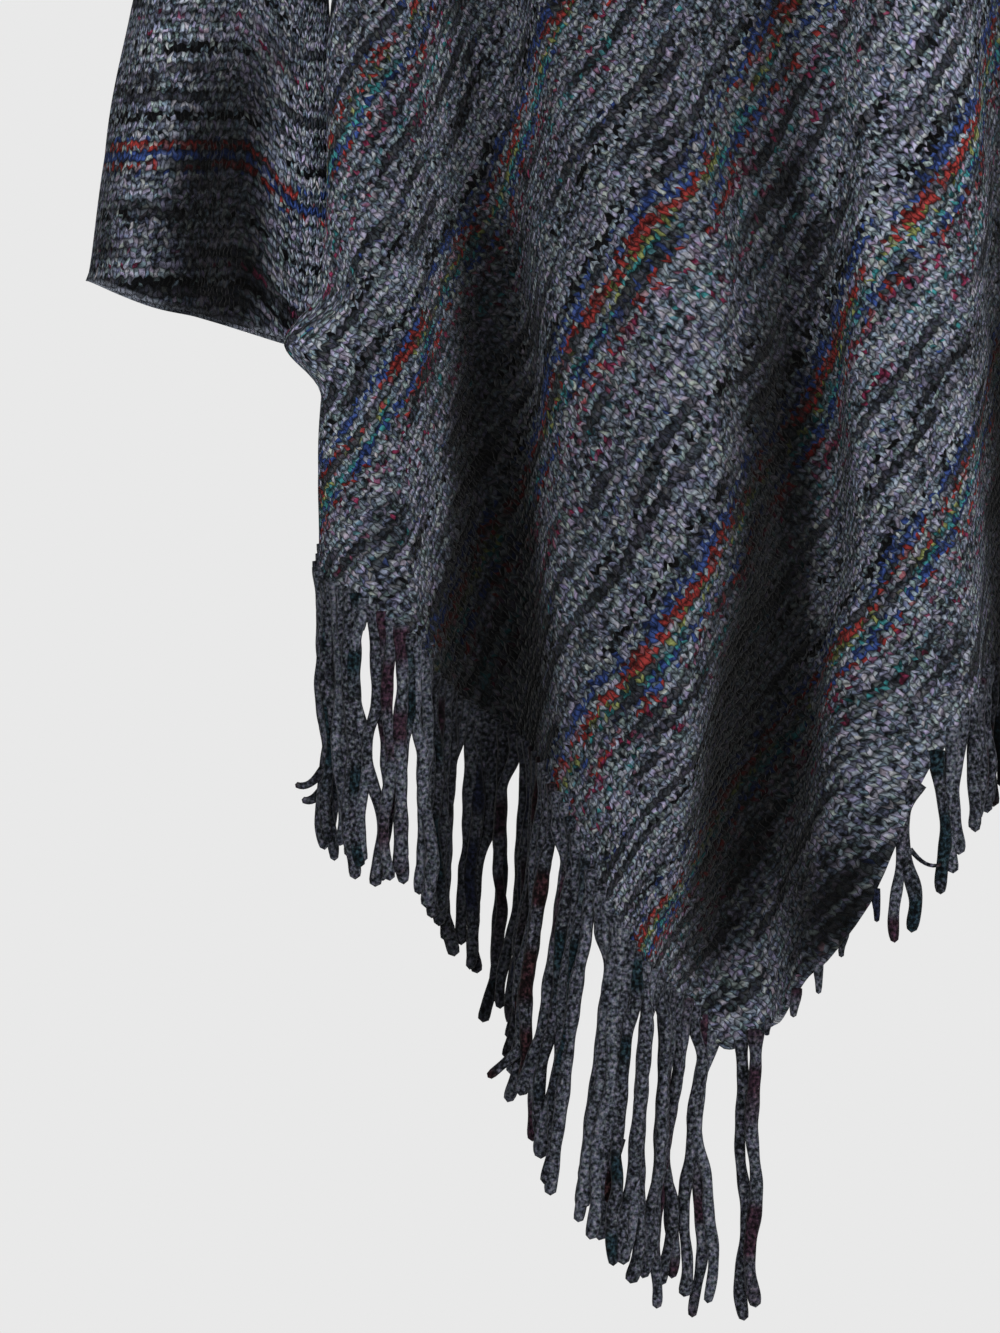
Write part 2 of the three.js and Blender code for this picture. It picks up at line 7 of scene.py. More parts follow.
import bpy
import numpy as np
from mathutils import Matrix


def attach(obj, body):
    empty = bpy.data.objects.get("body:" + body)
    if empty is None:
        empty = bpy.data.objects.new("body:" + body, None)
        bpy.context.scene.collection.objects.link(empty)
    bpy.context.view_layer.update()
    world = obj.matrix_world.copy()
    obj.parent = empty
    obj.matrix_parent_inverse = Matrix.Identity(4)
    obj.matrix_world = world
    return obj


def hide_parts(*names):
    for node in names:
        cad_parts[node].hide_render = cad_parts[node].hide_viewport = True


bl_info = {
    "name": "Poncho sweater",
    "version": (1, 0, 0),
    "blender": (4, 5, 0),
    "location": "View3D > Sidebar > Poncho",
    "description": "Builds the knitted cloth, neckband and fringe of a worn poncho sweater",
    "category": "Object",
}

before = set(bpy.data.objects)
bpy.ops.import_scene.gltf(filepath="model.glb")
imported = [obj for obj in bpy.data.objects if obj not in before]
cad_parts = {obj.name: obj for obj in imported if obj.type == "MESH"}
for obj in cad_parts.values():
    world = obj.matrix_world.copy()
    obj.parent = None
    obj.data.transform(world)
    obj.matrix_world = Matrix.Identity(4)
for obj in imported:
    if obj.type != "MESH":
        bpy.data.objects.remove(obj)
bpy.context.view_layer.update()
MM = 0.001


def table(columns, *rows):
    """A table of numbers as one array for each of its named columns."""
    return dict(zip(columns.split(), np.array(rows, float).T))


# The garment's shape in millimetres, the same as the solids'. Only the cloth that bulges under the right
# sleeve and the cuff's sag differ by a few millimetres.
CLOTH = 2.4
SEAM_GAP = 0.3
ARMHOLE_X = 175
ARMHOLE_TOP_Z = -42
UNDERARM_Z = -235
ARMHOLE_HALF_DEPTH = 62
NECK_HALF_WIDTH = 75
NECK_SIDE_Z = -4
SHOULDER_ROUNDING = 95
FRONT_NECK_REACH = 0.96
BACK_NECK_REACH = 0.62
NECKBAND_HEIGHT = 20
NECKBAND_LEAN = 0.35
NECKBAND_GAP = 0.75
# How far below the neckline the cloth's direction is taken, for the gap under the band
NECKBAND_AIM_DEPTH = 12
SECTION_SQUARENESS = 0.85
ARM_DENT_START = 0.76
SEAM_TURN_START = 0.94
ARM_FOLD_OVERHANG = 24
ARM_FOLD_CLEARANCE = 2
DEEPEST_FOLD = 144
LEAN_TOP_Z = -560
HEM_POINT_Z = -778

BODY = table(
    "z side wide front back fold",
    (-900, 160, 186, 136, 120, 1.05),
    (-620, 160, 186, 132, 118, 1),
    (-480, 160, 186, 128, 116, 0.95),
    (-380, 160, 185, 125, 114, 0.8),
    (-300, 160, 181, 122, 112, 0.6),
    (-235, 175, 177, 118, 108, 0.4),
    (-130, 175, 175, 108, 100, 0.12),
    (0, 175, 175, 98, 92, 0),
)
# Folds in plan from the right side seam to the left one; lean is the drift in X per 100 mm of height.
FRONT_FOLDS = table(
    "x out lean",
    (-160, 0, 0), (-163, 32, 0), (-177, 60, 0), (-187, 84, 0), (-170, 106, 0),
    (-144, 109, 0), (-131, 90, 0), (-113, 68, 2), (-92, 80, 1), (-77, 118, 0),
    (-40, 144, -8), (-6, 139, -16), (9, 116, -18), (28, 98, -18), (47, 112, -16),
    (58, 136, -12), (86, 142, -5), (110, 126, 0), (119, 94, 0), (129, 74, 0),
    (143, 84, 0), (160, 106, 0), (186, 86, 0), (177, 60, 0), (163, 32, 0), (160, 0, 0),
)
BACK_FOLDS = table(
    "x out lean",
    (-160, 0, 0), (-163, 30, 0), (-184, 70, 0), (-162, 98, 0), (-128, 84, 0), (-106, 78, 3),
    (-84, 108, 3), (-44, 128, 0), (-14, 108, -4), (8, 100, -6), (30, 122, -6), (72, 126, 0),
    (98, 94, 0), (122, 82, 0), (152, 102, 0), (184, 72, 0), (163, 30, 0), (160, 0, 0),
)
# The hem's height and the fringe's length by the distance along the cloth from the hem's point, how far
# the strands drift in X for each millimetre of length, and how far apart they are.
FRONT_HEM = table(
    "along z fringe lean spacing",
    (-404, -460, 104, 0, 5.4), (-363, -503, 68, 0, 4.6), (-340, -532, 98, 0, 4.2),
    (-318, -558, 119, 0, 4),
    (-281, -576, 119, 0, 4), (-239, -611, 108, 0, 4.2), (-198, -633, 117, -0.07, 4.6),
    (-143, -665, 142, -0.13, 5.2), (-111, -706, 140, -0.12, 6.2), (-74, -738, 133, -0.09, 7),
    (-37, -752, 129, -0.06, 6.6),
    (-14, -763, 126, -0.03, 6), (0, HEM_POINT_Z, 108, -0.01, 5.6), (13, -770, 120, 0, 6), (17, -767, 9, 0, 8),
    (32, -754, 9, 0, 8), (45, -735, 10, 0, 8), (57, -709, 10, 0, 8), (66, -676, 52, 0, 7),
    (78, -645, 64, 0, 6.6), (100, -617, 60, 0, 6.6), (155, -598, 58, 0, 6.6), (238, -558, 66, 0, 6.6),
    (279, -503, 68, 0, 6.6), (320, -460, 66, 0, 6.6),
)
BACK_HEM = table(
    "along z fringe lean spacing",
    (-319, -460, 66, 0, 8.5), (-242, -492, 66, 0, 8.5), (-211, -503, 64, 0, 8.5), (-134, -545, 66, 0, 8.5),
    (-87, -582, 66, 0, 8.5), (-35, -628, 68, 0, 8.5), (0, -646, 68, 0, 8.5), (35, -620, 68, 0, 8.5),
    (87, -572, 64, 0, 8.5), (134, -540, 64, 0, 8.5), (211, -500, 64, 0, 8.5), (245, -490, 66, 0, 8.5),
    (291, -460, 66, 0, 8.5),
)
ARM_FOLD_BULGE = {"z": -455, "half_height": 25, "reach": 17, "column": -0.76, "half_columns": 0.12}
SLEEVE_RINGS = table(
    "number out_x out_z in_x in_z depth",
    (0, -175.3, -42, -175.3, -235, 61.5),
    (1, -200, -56, -180, -245, 61),
    (2, -224.5, -96, -182, -264, 60),
    (3, -243.5, -158, -182, -292, 58),
    (4, -259, -222, -181, -322, 56),
    (5, -270.5, -275, -180, -352, 54),
    (6, -279.5, -322, -179, -384, 53),
    (7, -287.5, -370, -178, -418, 52),
    (8, -294.5, -424, -178, -460, 51),
)
SLEEVE_HOLLOWS = table("turn half_turn depth", (78, 42, 15), (200, 36, 7), (285, 40, 9))
CUFF_SAG = {"start": 0.6, "drop": 2, "middle": 0.58, "half": 0.42}
SLEEVE_HOLLOW_RUN = {"start": 0.35, "length": 0.55}

# Creases: each runs from one point of the cut to another, in millimetres along and down
# from the point of the hem. A trough has a minus height.
FRONT_CREASES = table(
    "along_from z_from along_to z_to half_width height",
    (150, -300, 152, -440, 9, -3.5),
    (139, -310, 141, -450, 10, 2.0),
    (-60, -330, -85, -520, 18, -2.2),
    (-20, -380, -52, -640, 20, 1.8),
    (-110, -600, -70, -725, 14, -2.4),
    (15, -600, 2, -745, 12, -2.2),
    (120, -420, 175, -560, 16, -2.4),
    (205, -330, 190, -520, 18, 2.0),
    (-262, -330, -268, -470, 14, -2.2),
    (-300, -420, -330, -520, 16, -2.4),
    (-150, -180, -60, -260, 26, -2.6),
    (60, -160, 150, -270, 26, -2.4),
    (-200, -210, -250, -330, 20, 2.2),
)
BACK_CREASES = table(
    "along_from z_from along_to z_to half_width height",
    (-60, -320, -72, -520, 18, -2.2),
    (40, -280, 58, -540, 20, 1.8),
    (110, -380, 150, -500, 16, -2.2),
    (-140, -300, -170, -460, 18, -2.4),
    (-120, -150, -40, -240, 26, -2.4),
    (70, -140, 130, -260, 26, -2.4),
    (190, -260, 215, -400, 20, 2.0),
)
SLEEVE_CREASES = table(
    "along_from z_from along_to z_to half_width height",
    (30, -250, 95, -205, 16, -2.6),
    (20, -190, 100, -150, 18, -2.2),
    (60, -110, 78, -20, 12, 1.6),
    (250, -210, 320, -260, 16, -2.4),
    (230, -120, 290, -160, 18, -2.0),
)
# Slow unevenness of hanging knit: wavelengths in millimetres along and down, height and phase.
UNEVENNESS = table("along z height phase", (92, 210, 0.9, 0.4), (57, 130, 0.6, 2.1), (-38, 88, 0.35, 4.0))
HEM_WAVES = table("wavelength height phase", (31, 1.1, 0.5), (19, 0.7, 2.2), (11, 0.4, 4.1))

# Painted shade and painted light on the folds, past what their depth alone paints: a place on the cut, its
# reach along and down, and the change, darker above 0 and lighter below.
FRONT_SHADES = table(
    "along z reach_along reach_z change",
    (-8, -768, 60, 46, -0.7),
    (-36, -590, 42, 200, 0.8),
    (-8, -590, 36, 170, 0.45),
    (10, -650, 30, 100, 0.55),
    (30, -660, 34, 90, 0.25),
    (-50, -360, 40, 110, 0.3),
    (-197, -350, 50, 90, -0.35),
    (-165, -340, 30, 110, -0.3),
    (-205, -560, 50, 150, 0.5),
    (-234, -615, 34, 80, 0.7),
    (-174, -615, 44, 100, 0.6),
    (-318, -400, 50, 300, -1.1),
    (22, -360, 34, 130, -0.4),
    (80, -350, 70, 150, -0.5),
    (75, -500, 50, 90, -0.2),
    (95, -600, 50, 90, -0.2),
    (44, -716, 40, 60, 0.75),
)
BACK_SHADES = table("along z reach_along reach_z change", (0, -640, 60, 50, -0.8))
# The same for the sleeves, by the turn round the arm in degrees and the height
SLEEVE_SHADES = table(
    "turn z reach_turn reach_z change",
    (20, -400, 46, 110, 0.3),
    (40, -310, 60, 70, -0.4),
    (102, -410, 38, 110, 0.8),
    (112, -320, 32, 60, 0.45),
    (155, -370, 48, 190, -1.5),
)
# The most painted light that a shade may give the cloth, on the same scale, and how much lighter it is drawn
# there
LIGHTEST = -1.2
LIGHTEST_GAIN = 2.4

# How far from a point of the cloth the folds beside it count, and the depth at which the painted shade is
# fully dark
FOLD_REACH = 55
FOLD_DEPTH = 22

# Places where the front's strands part and the background shows between them.
PARTINGS = table(
    "x_top z_top x_low z_low half_width",
    (-165, -573, -165, -610, 1.6),
    (-160, -619, -160, -642, 1.2),
    (-143.6, -624, -143.6, -688, 2.0),
    (-120.5, -629, -125, -706, 1.8),
    (-107, -675, -110.5, -728, 2.8),
    (-97, -641, -99.5, -696, 2.0),
    (-75.5, -675, -87, -751, 2.2),
    (-58.6, -722, -73.6, -839, 4.2),
    (-40, -748, -47, -823, 1.4),
    (-32.7, -749, -36, -827, 2.0),
    (-13, -765, -24, -823, 2.2),
    (-1.4, -770, -7, -814, 4.6),
    (86, -650, 86, -684, 4.2),
    (106, -640, 107, -668, 1.8),
)
PARTING_FADE = {"above": 20, "below": 30}

# Loose ends and a thread between strands: where each starts and ends, how far it sags and its radius.
LOOSE_YARN = table(
    "x_from z_from x_to z_to sag radius",
    (-184.5, -650, -196.5, -657, 3, 1.5),
    (-184.5, -659, -193.5, -664, 2, 1.7),
    (-94.5, -777, -108.5, -789, 0, 1.9),
    (-50, -816, -59, -857, 0, 2.3),
    (81.8, -685.5, 95.5, -692.5, 3, 0.8),
)
LOOSE_STEPS = 9
# Puts the loose yarns among the strands that are dyed red
LOOSE_KIND = 0.03

# Knit: its courses climb the front at this angle, as on a panel hung by its corner.
COURSE_ANGLE = math.radians(51.3)
# Below this height the cloth is at its full width, from which the courses are counted
FULL_WIDTH_Z = -300
STRIPE_PITCH_PLIES = 48
FIRST_STRIPE = -84
STRIPE_WARP = {"height": 7, "wavelength": 310}
COURSE_WAVES = table("along z height phase", (150, 260, 2.6, 0.8), (70, 120, 0.9, 3.0))
SLEEVE_STITCHES_ROUND = 80
SLEEVE_STITCH = 4.4
SLEEVE_COURSE = 4.5
# The sleeve's courses lie level and dip beside the body: where the first dyed course is, and its dip.
SLEEVE_DYE_Z = -379
SLEEVE_DIP = {"x": -208, "half_width": 34, "depth": 26}

# How many courses a leg of a stitch rises from its middle to its side, doubled
LEG_RISE = 0.6
# How the yarn strays from its even stitches: bends to a metre and how far
YARN_WANDER = {"scale": 190, "reach": 0.0035}
# Fibres to a metre, drawn coarser than real ones so that they show
FIBRE_SCALE = 430
# Slow changes of tone to a metre along the courses and across them, and their strength
SLOW_TONE = {"along": 22, "across": 60, "reach": 0.09}
# How much of its own tint each stitch shows
STITCH_TINT = 0.28
# Black bars: how many to a metre along a course and to a course across, and where their noise starts to show
BLACK_BARS = {"along": 14, "across": 0.7, "start": 0.545, "full": 0.67, "share": 0.85}
# The same for the places where a dyed course fades
DYE_FADE = {"along": 24, "across": 3.7, "start": 0.36, "full": 0.62, "least": 0.08, "most": 0.95}
# The half width of the soft edge of a dyed stitch, as a share
DYE_EDGE = 0.12
# Painted shade: how light the gaps between the legs are drawn, and the cloth at each depth between its folds
GAP_LIGHT = 0.2
FOLD_PAINTED_SHADE = [
    (0.08, (1, 1, 1, 1)),
    (0.35, (0.55, 0.55, 0.55, 1)),
    (0.7, (0.16, 0.16, 0.17, 1)),
    (1, (0.06, 0.06, 0.07, 1)),
]
KNIT_BUMP = 0.8
# The rolled edge of a cuff catches light, from this far from the edge to that far
CUFF_EDGE = {"near": 0.0008, "far": 0.0028, "share": 0.55}

# Colours of the yarns
YARN = {
    "black": "#08090c",
    "charcoal": "#22242a",
    "grey": "#474c57",
    "pale": "#717885",
    "light": "#8d93a0",
    "red": "#782a28",
    "blue": "#2b3c6c",
    "teal": "#306c70",
    "olive": "#6d7345",
    "crimson": "#68253e",
}
# Which yarn each tone of the marl shows, from the darkest up, in the knit, the rib and the fringe
KNIT_MARL = [(0.03, "black"), (0.2, "charcoal"), (0.4, "grey"), (0.67, "pale"), (1, "light")]
RIB_MARL = [(0.3, "black"), (0.5, "charcoal"), (0.7, "grey")]
FRINGE_MARL = [(0.32, "black"), (0.44, "charcoal"), (0.57, "grey"), (0.76, "pale")]

# Coloured yarn in one repeat. Each course is two plies high; this is the ply, counted across the stripes,
# its yarn and how much of it shows.
BODY_STRIPES = [
    (0, "black", 0.85),
    (1, "black", 0.7),
    (2, "blue", 0.55),
    (3, "blue", 0.85),
    (4, "blue", 0.95),
    (5, "blue", 0.85),
    (6, "red", 0.9),
    (7, "red", 0.95),
    (8, "red", 0.85),
    (9, "olive", 0.85),
    (10, "teal", 0.8),
    (11, "teal", 0.85),
    (12, "blue", 0.95),
    (13, "blue", 0.85),
    (14, "red", 0.6),
    (15, "red", 0.45),
    (16, "crimson", 0.4),
    (17, "crimson", 0.45),
    (18, "crimson", 0.3),
    (21, "teal", 0.3),
    (22, "teal", 0.25),
    (24, "crimson", 0.3),
    (25, "crimson", 0.35),
    (31, "teal", 0.2),
    (32, "blue", 0.15),
    (36, "black", 0.6),
    (37, "black", 0.5),
]
LAST_DYED_COURSE = -84
SLEEVE_STRIPES = [
    (1, "blue", 0.6),
    (2, "red", 0.95),
    (3, "red", 0.85),
    (4, "blue", 0.9),
    (5, "blue", 0.95),
    (6, "red", 0.9),
    (7, "red", 0.95),
    (8, "blue", 0.5),
    (12, "black", 0.85),
    (13, "black", 0.85),
    (18, "black", 0.5),
    (26, "black", 0.85),
    (27, "black", 0.85),
    (30, "crimson", 0.3),
    (33, "crimson", 0.2),
    (40, "black", 0.6),
    (41, "black", 0.6),
]

# Where a repeat starts, in plies, whether it is counted up or down across the courses, and how many plies
# a dyed stitch strays from its place
BODY_REPEAT = {"start": -6, "way": -1, "scatter": 1.0}
SLEEVE_REPEAT = {"start": 0, "way": 1, "scatter": 0.4}
# Painted light: the sleeve's knit is drawn this much lighter than the body's, to make up for the shade on the
# sleeves
SLEEVE_PAINTED_LIGHT = 1.75

# The rib of the neckband: ridges this far apart, in metres, and fibres to a metre
RIB = {"pitch": 0.004, "fibres": 420, "relief": 0.0012, "bump": 0.8}

# Strands' flecks to a metre, and the tint that they take from them
FRINGE_FLECKS = {"scale": 600, "reach": 0.06, "relief": 0.0008, "bump": 0.7}
FRINGE_TINT = {"share": 0.5, "plain": (1, 0.97, 0.93, 1)}
# Which of the strands have lengths of a dyed yarn: from this share of them on, its yarn and whether it shows
FRINGE_DYES = [
    (0, "red", 1),
    (0.08, "teal", 1),
    (0.2, "grey", 0),
    (0.6, "crimson", 1),
    (0.72, "blue", 1),
    (0.78, "grey", 0),
]
DYED_LENGTHS = {"scale": 28, "start": 0.46, "full": 0.58, "share": 0.85}
# Sets the noise of each strand apart from the next one's
KIND_STEP = 40

# Mesh density
PANEL_COLUMNS = {"front": (72, 36), "back": (60, 30)}
PANEL_ROWS = {"shoulder": 34, "hanging": 168}
SLEEVE_RINGS_SHOWN = 110
SLEEVE_SIDES = 150
BAND_COLUMNS = 60
BAND_ROWS = 9
STRAND_SIDES = 8
STRAND_STEP = 2.0
FEWEST_STRAND_STEPS = 6

# Strands of the fringe, in millimetres. Each is a soft tube, slightly oval, that swells a little along its
# length and is wider at its root.
STRAND_FLARE = {"share": 0.35, "length": 14}
STRAND_OVAL = 0.06
STRAND_SWELLING = {"share": 0.1, "wavelength": 47}
STRAND_END = {"share": 0.8, "length": 3}
# How far the middle of each end stands out, in radii
STRAND_CAP = {"root": 0.3, "end": 0.5}
STRAND_ROOT_RISE = 3
# The columns left free of strands at each end of a hem, and a small step along it
STRAND_END_MARGIN = 0.01
COLUMN_STEP = 0.002
HEM_PLACES = 400
# Strands shorter than this sway less and are thinner
FULL_STRAND = 60
STRAND_CHANCE = {"length": 0.035, "thinnest": 0.86, "thickest": 1.1, "short": 0.5, "phase": 6.28}
SIDEWAYS = {"reach": 1.9, "wavelength": 62}
FORWARD = {"reach": 1.6, "wavelength": 74, "drift": 2.4}
LEAN_POWER = 1.3
# Strands hang in clumps and are drawn towards the middle of theirs
CLUMP = {"fewest": 2, "most": 4, "pitch": 2.8, "spread": 2, "pull": 0.2, "drawn_by": 1.2}
# How far a parting keeps the middle of a strand from its edge
STRAND_REACH = 3.0

# The cloth's edges: creases and waves fade out near the side seams, neckline, armhole and cuff
SEAM_FADE = 0.04
NECK_FADE = 15
ARMHOLE_FADE = 20
CUFF_ROLL = {"height": 0.9, "reach": 5}

# Camera and stage, in metres
CAMERA_PLACE = (-0.1036, -5.0, -0.603)
CAMERA_SENSOR = 36
CAMERA_LENS = 290.5
FLOOR_Z = -1.35
FLOOR_HALF = 3.5
BACKDROP_Y = 14
BACKDROP_HALF = 5
BACKDROP_Z = -0.6
PALE = "#e9e9e9"
# Name, place, size and power of each light, and what all of them face
LIGHTS = (
    ("key", (-0.8, -3.2, 0.5), 1.2, 78),
    ("fill", (1.9, -2.8, 0.0), 1.6, 86),
    ("rim", (0.6, 2.8, 0.5), 1.5, 70),
)
LIGHT_AIM = (0, 0, -0.45)
SKY = {"colour": (0.5, 0.52, 0.55, 1), "strength": 0.12}

# Places of a colour's two inputs and of its result on a Mix node
COLOUR_A = 6
COLOUR_B = 7
MIXED_COLOUR = 2
MULTIPLIED = {"data_type": "RGBA", "blend_type": "MULTIPLY"}


def length_setting(name, description, default):
    """A setting that is a length, given in millimetres."""
    return bpy.props.FloatProperty(
        name=name, description=description, default=default * MM, subtype="DISTANCE", unit="LENGTH"
    )


class PonchoSettings(bpy.types.PropertyGroup):
    """The sizes that a user may want to change"""

    stitch_width: length_setting("Stitch width", "Width of one stitch", 4.4)
    course_height: length_setting("Course height", "Height of one course", 4.304)
    relief: length_setting("Relief", "Depth of the knit's relief", 1.5)
    strand_share: bpy.props.FloatProperty(
        name="Strand share",
        description="How much of the full number of strands is made",
        default=1,
        min=0.2,
        max=1,
        subtype="FACTOR",
    )
    strand_radius: length_setting("Strand radius", "Radius of one strand of the fringe", 2.9)
    twist_length: length_setting("Twist length", "Length of one full twist of a strand", 34)


# Curves and tables


def mix(a, b, share):
    """The value that lies this share of the way from a to b."""
    return a + (b - a) * share


def soft(value):
    """A soft step from 0 to 1."""
    value = np.clip(value, 0, 1)
    return value**2 * (3 - 2 * value)


def bump(offset, half_width):
    """A soft rise to 1 in the middle, which is 0 from half_width on."""
    return soft(1 - np.abs(offset) / half_width)


def read_table(rows, key, column, at):
    """A smooth curve through one column of a table, read at values of its key column."""
    keys, values = rows[key], rows[column]
    last = len(keys) - 1
    at = np.clip(at, keys[0], keys[last])
    i = np.clip(np.searchsorted(keys, at) - 1, 0, last - 1)

    def slope(a, b):
        return (values[b] - values[a]) / (keys[b] - keys[a])

    before = slope(np.maximum(i - 1, 0), i + 1)
    after = slope(i, np.minimum(i + 2, last))
    span = keys[i + 1] - keys[i]
    s = (at - keys[i]) / span
    start = (1 + 2 * s) * (1 - s) ** 2 * values[i] + s * (1 - s) ** 2 * span * before
    end = s * s * (3 - 2 * s) * values[i + 1] + s * s * (s - 1) * span * after
    return start + end


def waves(rows, along, z):
    """The sum of the slow waves of a table over the cloth."""
    total = 0
    for length, drop, height, phase in zip(*rows.values()):
        total = total + height * np.sin(2 * np.pi * (along / length + z / drop) + phase)
    return total


def crease_height(rows, along, z):
    """How far the creases of a table lift the cloth, each fading out towards its ends."""
    total = np.zeros_like(along)
    for along_from, z_from, along_to, z_to, half, height in zip(*rows.values()):
        run = along_to - along_from
        fall = z_to - z_from
        length = math.hypot(run, fall)
        place = ((along - along_from) * run + (z - z_from) * fall) / length**2
        aside = ((along - along_from) * fall - (z - z_from) * run) / length
        total += height * bump(aside, half) * soft((0.5 - np.abs(place - 0.5)) * 4 + 0.5)
    return total


# The cloth's surfaces


def with_columns(folds):
    """The folds with each point's column from -1 to 1, and the cloth's width along them."""
    steps = np.hypot(np.diff(folds["x"]), np.diff(folds["out"]))
    lengths = np.concatenate([[0], np.cumsum(steps)])
    return {**folds, "column": 2 * lengths / lengths[-1] - 1}, lengths[-1]


# The column on which the neckline meets the shoulder seam
NECK_COLUMN = (2 / math.pi) * math.asin((NECK_HALF_WIDTH / ARMHOLE_X) ** (1 / SECTION_SQUARENESS))


class Panel:
    """The front or back of the body: columns run across the cloth from the right seam to the left one."""

    def __init__(self, side, facing, folds, hem, neck_reach, creases, shades, bulge=None):
        self.side = side
        self.facing = facing
        self.folds, self.width = with_columns(folds)
        self.hem = hem
        self.neck_reach = neck_reach
        self.creases = creases
        self.shades = shades
        self.bulge = bulge
        at_point = self.folds["x"] + self.folds["lean"] * (LEAN_TOP_Z - HEM_POINT_Z) / 100
        i = int(np.argmax(at_point >= 0))
        share = -at_point[i - 1] / (at_point[i] - at_point[i - 1])
        self.tip = mix(self.folds["column"][i - 1], self.folds["column"][i], share)

    def along(self, column):
        return (column - self.tip) * self.width / 2

    def hem_z(self, column):
        return read_table(self.hem, "along", "z", self.along(column))

    def top_z(self, column):
        across = np.minimum(1, np.abs(shoulder_x(column)) / NECK_HALF_WIDTH)
        reach = self.neck_reach**2 * (1 - across**2)
        return shoulder_z(column) - SHOULDER_ROUNDING * (1 - np.sqrt(1 - reach))

    def point(self, column, z):
        """Points of the outer face at these columns and heights."""

        def level(name):
            return read_table(BODY, "z", name, z)

        column, z = np.broadcast_arrays(np.asarray(column, float), np.asarray(z, float))
        turn = column * np.pi / 2
        below = np.clip((shoulder_z(column) - z) / SHOULDER_ROUNDING, 0, 1)
        rounding = np.sqrt(1 - (1 - below) ** 2)
        seam = armhole_depth(z)
        fold = level("fold")
        dent = soft((np.abs(column) - ARM_DENT_START) / (1 - ARM_DENT_START))
        reach = np.abs(np.sin(turn)) ** SECTION_SQUARENESS
        smooth_x = np.sign(column) * (level("wide") * reach - (level("wide") - level("side")) * dent)
        depth = level(self.side) * rounding
        spread = np.abs(np.cos(turn)) ** SECTION_SQUARENESS
        smooth_out = seam + np.maximum(0, depth - seam) * spread
        drop = np.maximum(0, LEAN_TOP_Z - z) / 100
        leant = read_table(self.folds, "column", "x", column)
        leant = leant + read_table(self.folds, "column", "lean", column) * drop
        at_seam = soft((np.abs(column) - SEAM_TURN_START) / (1 - SEAM_TURN_START))
        fold_x = mix(leant, np.sign(column) * level("side"), at_seam)
        fold_out = read_table(self.folds, "column", "out", column)
        fold_out = seam + fold_out * rounding * (1 - seam / DEEPEST_FOLD)
        x = mix(smooth_x, fold_x, fold)
        out = mix(smooth_out, fold_out, fold)
        if self.bulge:
            near = bump(z - self.bulge["z"], self.bulge["half_height"])
            beside = bump(column - self.bulge["column"], self.bulge["half_columns"])
            x = x - self.bulge["reach"] * near * beside
        past = out - ARMHOLE_HALF_DEPTH - ARM_FOLD_CLEARANCE
        limit = ARMHOLE_X + ARM_FOLD_OVERHANG * soft(past / ARM_FOLD_OVERHANG)
        held = np.sign(x) * np.minimum(np.abs(x), limit)
        x = np.where(z > UNDERARM_Z, held, x)
        y = self.facing * np.maximum(out, SEAM_GAP / 2)
        return np.stack([x, y, z], axis=-1)


def shoulder_x(column):
    """How far out each column crosses the shoulder seam."""
    turn = np.asarray(column) * np.pi / 2
    return ARMHOLE_X * np.sign(turn) * np.abs(np.sin(turn)) ** SECTION_SQUARENESS


def shoulder_z(column):
    """The height of the shoulder seam at each column."""
    slope = (ARMHOLE_TOP_Z - NECK_SIDE_Z) / (ARMHOLE_X - NECK_HALF_WIDTH)
    return NECK_SIDE_Z + slope * np.maximum(0, np.abs(shoulder_x(column)) - NECK_HALF_WIDTH)


def armhole_depth(z):
    """Half the armhole's width from front to back at each height."""
    down = np.clip((ARMHOLE_TOP_Z - z) / (ARMHOLE_TOP_Z - UNDERARM_Z), 0, 1)
    return ARMHOLE_HALF_DEPTH * np.sqrt(1 - (2 * down - 1) ** 2)


FRONT = Panel(
    "front", -1, FRONT_FOLDS, FRONT_HEM, FRONT_NECK_REACH, FRONT_CREASES, FRONT_SHADES, ARM_FOLD_BULGE
)
BACK = Panel("back", 1, BACK_FOLDS, BACK_HEM, BACK_NECK_REACH, BACK_CREASES, BACK_SHADES)


def panel_columns(panel):
    """Columns with one on each end of the neckline and on the hem's point, left to right from outside."""
    shoulder, neck = PANEL_COLUMNS[panel.side]
    ends = [-1, -NECK_COLUMN, panel.tip, NECK_COLUMN, 1]
    counts = (shoulder, neck, neck, shoulder)
    parts = [np.linspace(a, b, count, endpoint=False) for a, b, count in zip(ends, ends[1:], counts)]
    columns = np.concatenate([*parts, [1]])
    return columns if panel.facing < 0 else columns[::-1]


def panel_heights(panel, columns):
    """Heights of the grid: the first rows go over the shoulder, the rest hang to the hem."""
    shoulder = shoulder_z(columns)
    top_turn = np.arccos(np.clip(1 - (shoulder - panel.top_z(columns)) / SHOULDER_ROUNDING, 0, 1))
    over = np.linspace(0, 1, PANEL_ROWS["shoulder"] + 1)[:, None]
    down = np.linspace(0, 1, PANEL_ROWS["hanging"] + 1)[1:, None]
    along = panel.along(columns)
    hem = panel.hem_z(columns)
    for length, height, phase in zip(*HEM_WAVES.values()):
        hem = hem + height * np.sin(2 * np.pi * along / length + phase)
    first = shoulder - SHOULDER_ROUNDING * (1 - np.cos(mix(top_turn, np.pi / 2, over)))
    rest = mix(shoulder - SHOULDER_ROUNDING, hem, down)
    return np.concatenate([first, rest])


def grid_normals(grid, closed):
    """Mean direction square to the grid at each point, away from the cloth's inner face."""
    if closed:
        wide = np.concatenate([grid[:, -1:], grid, grid[:, :1]], axis=1)
        across = wide[:, 2:] - wide[:, :-2]
    else:
        across = np.gradient(grid, axis=1)
    down = np.gradient(grid, axis=0)
    normals = np.cross(down, across)
    return normals / np.maximum(np.linalg.norm(normals, axis=-1, keepdims=True), 1e-9)


def lifted(grid, normals, height):
    """The grid moved out by a height at each point."""
    return grid + normals * height[..., None]


